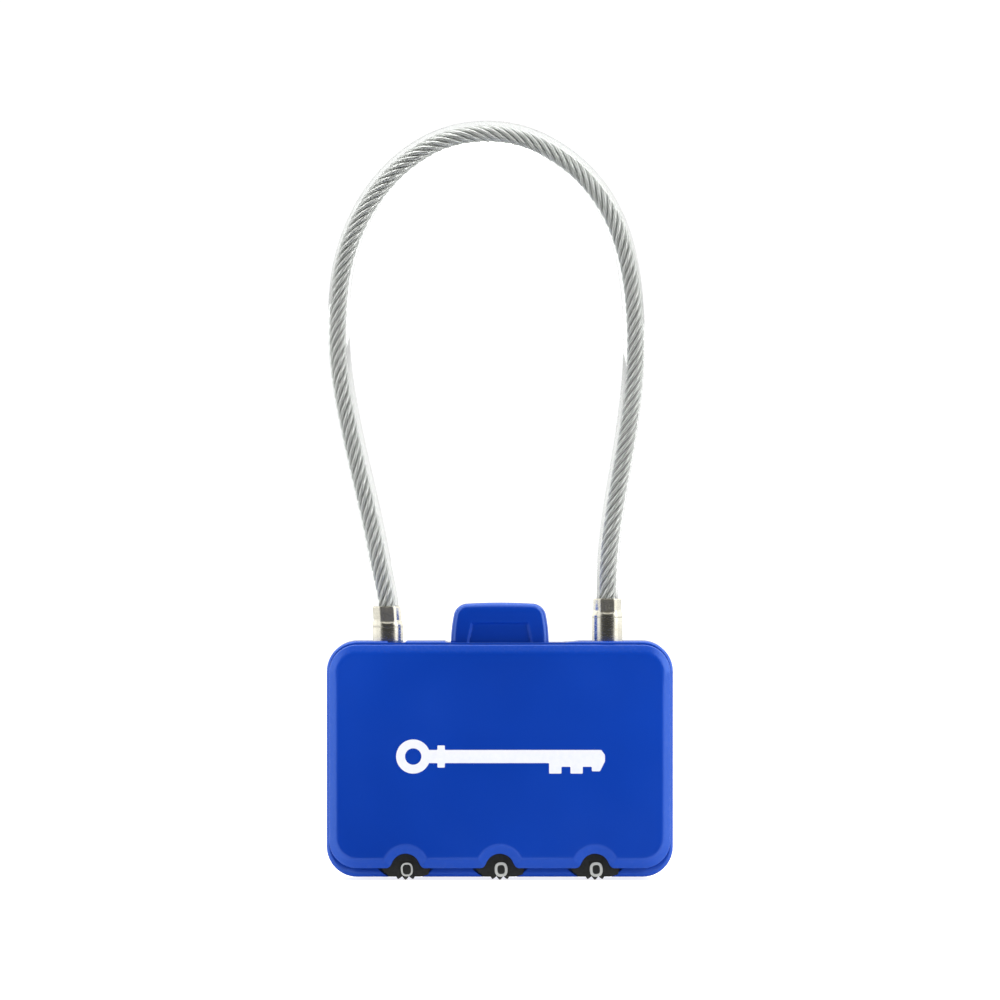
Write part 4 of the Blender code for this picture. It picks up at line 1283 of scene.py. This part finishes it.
def make_digits(i, x, half_width, finish):
    """Ten digits round the wheel's face, each turned so that it reads upright when it is straight below."""
    patches = []
    for digit in range(10):
        turn = math.tau * digit / 10 + DIGIT_LEAD
        c, s = math.cos(turn), math.sin(turn)
        for line in digit_lines(digit):
            line = line * (2 * DIGIT_HALF_WIDTH, 2 * DIGIT_HALF_HEIGHT / DIGIT_HEIGHT) - (0.0, DIGIT_RADIUS)
            spun = line @ np.array([[c, s], [-s, c]]) + (x, WHEEL_Z)
            patches.append(ribbon(spun, half_width, WHEEL_FRONT + INK_ROOT, WHEEL_FRONT - INK_RISE))
    digits = make_piece(f"wheel_digits_{i}", patches, finish, sharp=50.0)
    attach(digits, WHEEL_BODIES[i - 1])


def make_window_mask_and_shade(i, x, finish):
    """Blackened mask plate behind the window: a thin plate with an opening that shows one digit. Its lower
    feet reach down over the wheel's slot in the case, a black sheet put where there is only shade in the
    slot.
    """
    outline = [
        (-2.76, 1.14), (-2.15, 0.62), (-2.05, 0.4), (-0.74, 0.4), (-0.74, 2.3), (1.02, 2.3), (1.02, 0.4),
        (1.95, 0.42), (2.78, 0.66), (2.98, 1.28), (2.7, 2.0), (1.95, 3.35), (-1.95, 3.35), (-2.7, 2.0),
        (-2.92, 1.4),
    ]
    shape = softened(np.array([*outline, outline[0]]) + (x, 0.0), 0.1, 4)[:-1]
    # The plate's lower feet are black plastic standing in for the shade in the slot.
    mask = make_piece(f"window_mask_and_shade_{i}", [extruded(shape, MASK_FRONT, MASK_BACK)], finish)
    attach(mask, "case")


def make_return_spring(finish):
    """Coil spring: wire carried along a helix, its rings spanned by the coil's radius and its square.

    It stands between the slide's window and the lug on the case, and is pressed towards the lug.
    """
    share = np.linspace(0.0, 1.0, 24 * SPRING_TURNS + 1)
    turn = math.tau * SPRING_TURNS * share
    radial = np.stack((np.zeros_like(turn), np.cos(turn), np.sin(turn)), axis=-1)
    along = SPRING_LEFT + (SPRING_RIGHT - SPRING_LEFT) * share
    line = SPRING_COIL * radial + np.stack((along, 0.0 * share, 0.0 * share + SPRING_Z), axis=-1)
    forward = np.gradient(line, axis=0)
    forward /= np.linalg.norm(forward, axis=1)[:, None]
    square = np.cross(forward, radial)
    around = full_turn(12)[..., None]
    section = np.cos(around) * radial[:, None] + np.sin(around) * square[:, None]
    rings = line[:, None] + SPRING_WIRE * section
    spring = make_piece("return_spring_coil", [patch(rings, around=True, caps=True)], finish, sharp=60.0)
    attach(spring, "case")
    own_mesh(spring)
    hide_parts("return_spring")


# ---------------------------------------------------------------- print and screws

def make_key_print(finish):
    """White key printed on the cover: a ring for the bow, and a bar that steps down for the bits."""
    front = COVER_FRONT - INK_RISE
    back = COVER_FRONT + INK_ROOT
    bow = [(1.0, back), (1.0, front), (2.08, front), (2.08, back)]
    patches = [turned_ring((KEY_BOW_X, KEY_Z), bow)]
    middle = KEY_Z
    top = middle + KEY_HALF_BAR
    low = middle - KEY_HALF_BAR
    outline = [
        (-8.75, low), (-7.6, low), (-7.6, middle - 1.35), (-6.7, middle - 1.35), (-6.7, low),
        (6.0, low), (6.0, middle - 2.08), (7.5, middle - 2.08), (7.5, middle - 1.25), (8.6, middle - 1.25),
        (8.6, middle - 2.08), (10.1, middle - 2.08), (10.1, middle - 1.25), (11.2, middle - 1.25),
        (11.2, middle - 1.8), (12.2, middle - 1.8), (12.8, middle - 0.6), (12.8, middle + 0.2), (12.35, top),
        (-6.7, top), (-6.7, middle + 1.35), (-7.6, middle + 1.35), (-7.6, top), (-8.75, top),
    ]
    bar = softened([*outline, outline[0]], 0.12, 4)[:-1]
    patches.append(extruded(bar, front + 0.002, back))
    key = make_piece("key_print", patches, finish, sharp=50.0)
    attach(key, "case")


def make_screw(i, place, finish):
    """Countersunk screw: a turned head and threaded shank, the head's face a grid of rings with a cross.

    The cross is pressed in where the lesser of across and up is within an arm's half width, and the greater
    within its length.
    """
    lead = SCREW_TURN * i
    angle = full_turn(96) + lead
    radius = np.concatenate((np.linspace(0.02, 0.84, 34), [0.88, SCREW_RADIUS]))[:, None]
    dome = SCREW_FACE - 0.05 * (radius / SCREW_RADIUS) ** 2
    x = radius * np.cos(angle)
    z = radius * np.sin(angle)
    arm = np.minimum(np.abs(x), np.abs(z)) - 0.1
    reach = np.maximum(np.abs(x), np.abs(z)) - 0.55
    y = dome - 0.3 * eased(0.5 - np.maximum(arm, reach) / 0.07)
    face = np.stack((place[0] + x, y, place[1] + z), axis=-1)
    thread = np.linspace(5.1, -3.9, 61)
    cut = 0.44 + 0.06 * np.abs(np.mod(np.arange(61), 4) - 2) / 2
    neck = [(SCREW_RADIUS, 5.84), (SCREW_RADIUS, 5.5), (0.5, 5.47), (0.5, 5.2)]
    shank = turned(place, [*neck, *zip(cut, thread), (0.12, -4.2)], False, 96, lead)
    rows = np.concatenate((face, shank))
    screw = make_piece(f"case_screw_{i}_body", [patch(rows, around=True, caps=True)], finish, sharp=60.0)
    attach(screw, "case")
    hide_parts(f"case_screw_{i}")


# ---------------------------------------------------------------- studio

def make_floor():
    """Pale round floor that glows evenly, and is dark in mirrors where it lies in front of the padlock."""
    made, tree, shader, place, _ = start_finish("studio_floor", (0.9, 0.9, 0.9))
    cloud = noise(tree, place, 2.0)
    path = tree.nodes.new("ShaderNodeLightPath")
    glow = raised(tree, times(tree, path.outputs["Is Camera Ray"], 0.8), path.outputs["Is Diffuse Ray"], 0.72)
    feed(
        tree, shader, Base_Color=mixed(tree, cloud, (0.5, 0.5, 0.5), (0.52, 0.52, 0.52)),
        Roughness=0.9, Specular_IOR_Level=0.0, Emission_Color=(1.0, 1.0, 1.0), Emission_Strength=glow,
    )
    length = new_node(tree, "ShaderNodeVectorMath", Vector=place)
    length.operation = "LENGTH"
    away = length.outputs["Value"]
    front = calculate(tree, "DIVIDE", times(tree, axes_of(tree, place)["Y"], -1.0), away)
    dim = times(
        tree, spread(tree, front, 0.52, 0.8, 0.0, 1.0), spread(tree, away, 0.012, 0.03, 0.0, 1.0)
    )
    dim = times(tree, dim, path.outputs["Is Glossy Ray"])
    dark = new_node(tree, "ShaderNodeBsdfDiffuse", Color=(0.03, 0.03, 0.03))
    choose(tree, dim, shader, dark, tree.nodes["Material Output"])
    sides = 96
    disc = turned((0.0, 0.0), [(0.01 * FLOOR_RADIUS, FLOOR_Z), (FLOOR_RADIUS, FLOOR_Z)], True, sides)
    points, faces, wear_and_light = patch(disc, around=True)
    faces.append(list(range(sides)))
    floor = make_piece("floor", [(points, faces, wear_and_light)], made)
    if floor.data.polygons[0].normal.z < 0:
        floor.data.flip_normals()


def make_surround():
    """Soft surround by direction: dim in front, a band on either side, bright behind and above."""
    world = bpy.data.worlds.new("surround")
    bpy.context.scene.world = world
    world.use_nodes = True
    tree = world.node_tree
    tree.nodes.clear()
    parts = axes_of(tree, tree.nodes.new("ShaderNodeTexCoord").outputs["Generated"])
    x, y, z = (parts[name] for name in "XYZ")
    aside = spread(tree, calculate(tree, "ABSOLUTE", x), 0.25, 0.6, 0.75, 1.35)
    behind = times(tree, spread(tree, y, -0.05, 0.05, 0.0, 1.0), aside)
    band = times(tree, spread(tree, y, -0.62, -0.5, 0.0, 1.0), spread(tree, y, -0.08, 0.0, 1.0, 0.0))
    right = spread(tree, x, 0.3, 0.8, 0.25, 1.9)
    left = spread(tree, x, -0.8, -0.3, 0.95, 0.0)
    band = times(tree, band, calculate(tree, "ADD", left, right))
    above = times(tree, spread(tree, z, 0.5, 0.9, 0.0, 1.1), spread(tree, y, -0.5, -0.2, 0.0, 1.0))
    light = 0.06
    for part in (behind, band, above):
        light = calculate(tree, "ADD", part, light)
    white = (1.0, 1.0, 1.0)
    surround = new_node(tree, "ShaderNodeBackground", Color=white, Strength=light)
    seen = new_node(tree, "ShaderNodeBackground", Color=white, Strength=1.05)
    path = tree.nodes.new("ShaderNodeLightPath")
    choose(tree, path.outputs["Is Camera Ray"], surround, seen, tree.nodes.new("ShaderNodeOutputWorld"))


def make_lights():
    """Three soft boxes, at their places and sizes in metres, that light without being mirrored."""
    aim = Vector((0.0, 0.0, 0.03))
    for name, spot, size, power in (
        ("soft_box_left", (-1.05, -0.85, 0.45), (0.3, 0.9), 5.5),
        ("soft_box_right", (1.0, -0.9, 0.4), (0.45, 0.9), 9.0),
        ("soft_box_top", (0.0, 0.35, 1.1), (1.0, 0.5), 9.0),
    ):
        light = bpy.data.lights.new(name, "AREA")
        light.shape = "RECTANGLE"
        light.size, light.size_y = size
        light.energy = power
        lamp = bpy.data.objects.new(name, light)
        bpy.context.scene.collection.objects.link(lamp)
        lamp.location = spot
        lamp.rotation_euler = (aim - Vector(spot)).to_track_quat("-Z", "Y").to_euler()
        lamp.visible_camera = False
        lamp.visible_glossy = False


# ---------------------------------------------------------------- assembly

def finish_nodes(names, finish):
    """Give carried-over parts of the frame their finish."""
    for name in names:
        for material_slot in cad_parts[name].material_slots:
            material_slot.link = "OBJECT"
            material_slot.material = finish


place_camera()

nickel = nickel_plate()
sheath = make_sheath(clear_vinyl())
rope = make_rope(rope_wire())
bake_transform(sheath)
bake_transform(rope)
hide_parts("cable_sheath")
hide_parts("wire_rope")

fixed_inside = [
    (1.2, 25.2), (STEM_RADIUS, 25.5), (STEM_RADIUS, 26.95),
    (NECK_RADIUS, 26.95), (NECK_RADIUS, 27.65), (STEM_RADIUS, 27.65),
]
plug_inside = [
    (0.9, 22.7), (STEM_RADIUS, 23.3), (STEM_RADIUS, 24.0),
    (NECK_RADIUS, 24.0), (NECK_RADIUS, 26.5), (STEM_RADIUS, 26.5),
]
fixed_stem = make_stem("fixed_stem_turned", FIXED_X, fixed_inside, 30.8, nickel)
plug_stem = make_stem("plug_stem_turned", PLUG_X, plug_inside, 31.95, nickel)
fixed_sleeve = make_sleeve("fixed_crimp_sleeve", FIXED_X, 30.81, 33.35, -0.07, nickel)
plug_sleeve = make_sleeve("plug_crimp_sleeve", PLUG_X, 31.96, 34.3, 0.0, nickel)
for made, node, body in (
    (fixed_stem, "fixed_stem", "case"),
    (plug_stem, "plug_stem", "plug"),
    (fixed_sleeve, "fixed_crimp", "case"),
    (plug_sleeve, "plug_crimp", "plug"),
):
    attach(made, body)
    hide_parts(node)

centre_line = smooth_route(200)

lacquer = blue_lacquer()
cover = make_cover(lacquer)
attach(cover, "case")
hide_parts("front_cover")
make_case(lacquer)
make_case_fittings(lacquer)
make_handle(lacquer)
make_key_print(printed("white_print", (0.7, 0.71, 0.75), (0.62, 0.645, 0.72), 1800.0))

black = moulded_black()
digit_ink = printed("digit_ink", (0.52, 0.53, 0.5), (0.4, 0.41, 0.39), 3500.0)
for i, (x, half_width) in enumerate(zip(WHEEL_X, DIGIT_STROKES), 1):
    make_wheel(i, x, black)
    make_digits(i, x, half_width, digit_ink)
    make_window_mask_and_shade(i, x, black)

zinc = bare_metal("screw_zinc", (0.58, 0.585, 0.6), (0.42, 0.43, 0.45), 0.24, 0.4, (1.0, 1.0, 1.0), 2200.0)
for i, place in enumerate(SCREW_PLACES, 1):
    make_screw(i, place, zinc)

brass = bare_metal("turned_brass", (0.7, 0.5, 0.2), (0.5, 0.35, 0.13), 0.22, 0.38, (1.0, 0.05, 1.0), 3000.0)
rolled = bare_metal(
    "rolled_steel", (0.55, 0.55, 0.54), (0.38, 0.385, 0.39), 0.26, 0.42, (0.08, 1.0, 1.0), 2600.0
)
sprung = bare_metal(
    "spring_steel", (0.46, 0.46, 0.45), (0.3, 0.295, 0.29), 0.2, 0.34, (0.08, 1.0, 0.3), 3400.0
)
pinned = bare_metal(
    "pin_steel", (0.62, 0.62, 0.61), (0.46, 0.46, 0.455), 0.16, 0.28, (1.0, 0.06, 1.0), 4200.0
)
finish_nodes([f"wheel_cam_{i}" for i in (1, 2, 3)], brass)
finish_nodes([f"wheel_washer_{i}" for i in (1, 2, 3)] + ["retaining_clip", "detent_spring"], sprung)
make_return_spring(sprung)
finish_nodes([f"wheel_axle_{i}" for i in (1, 2, 3)] + ["slide_rivet_1", "slide_rivet_2"], pinned)
finish_nodes(["lock_slide"], rolled)

make_floor()
make_surround()
make_lights()
bpy.context.scene.view_settings.view_transform = "Standard"
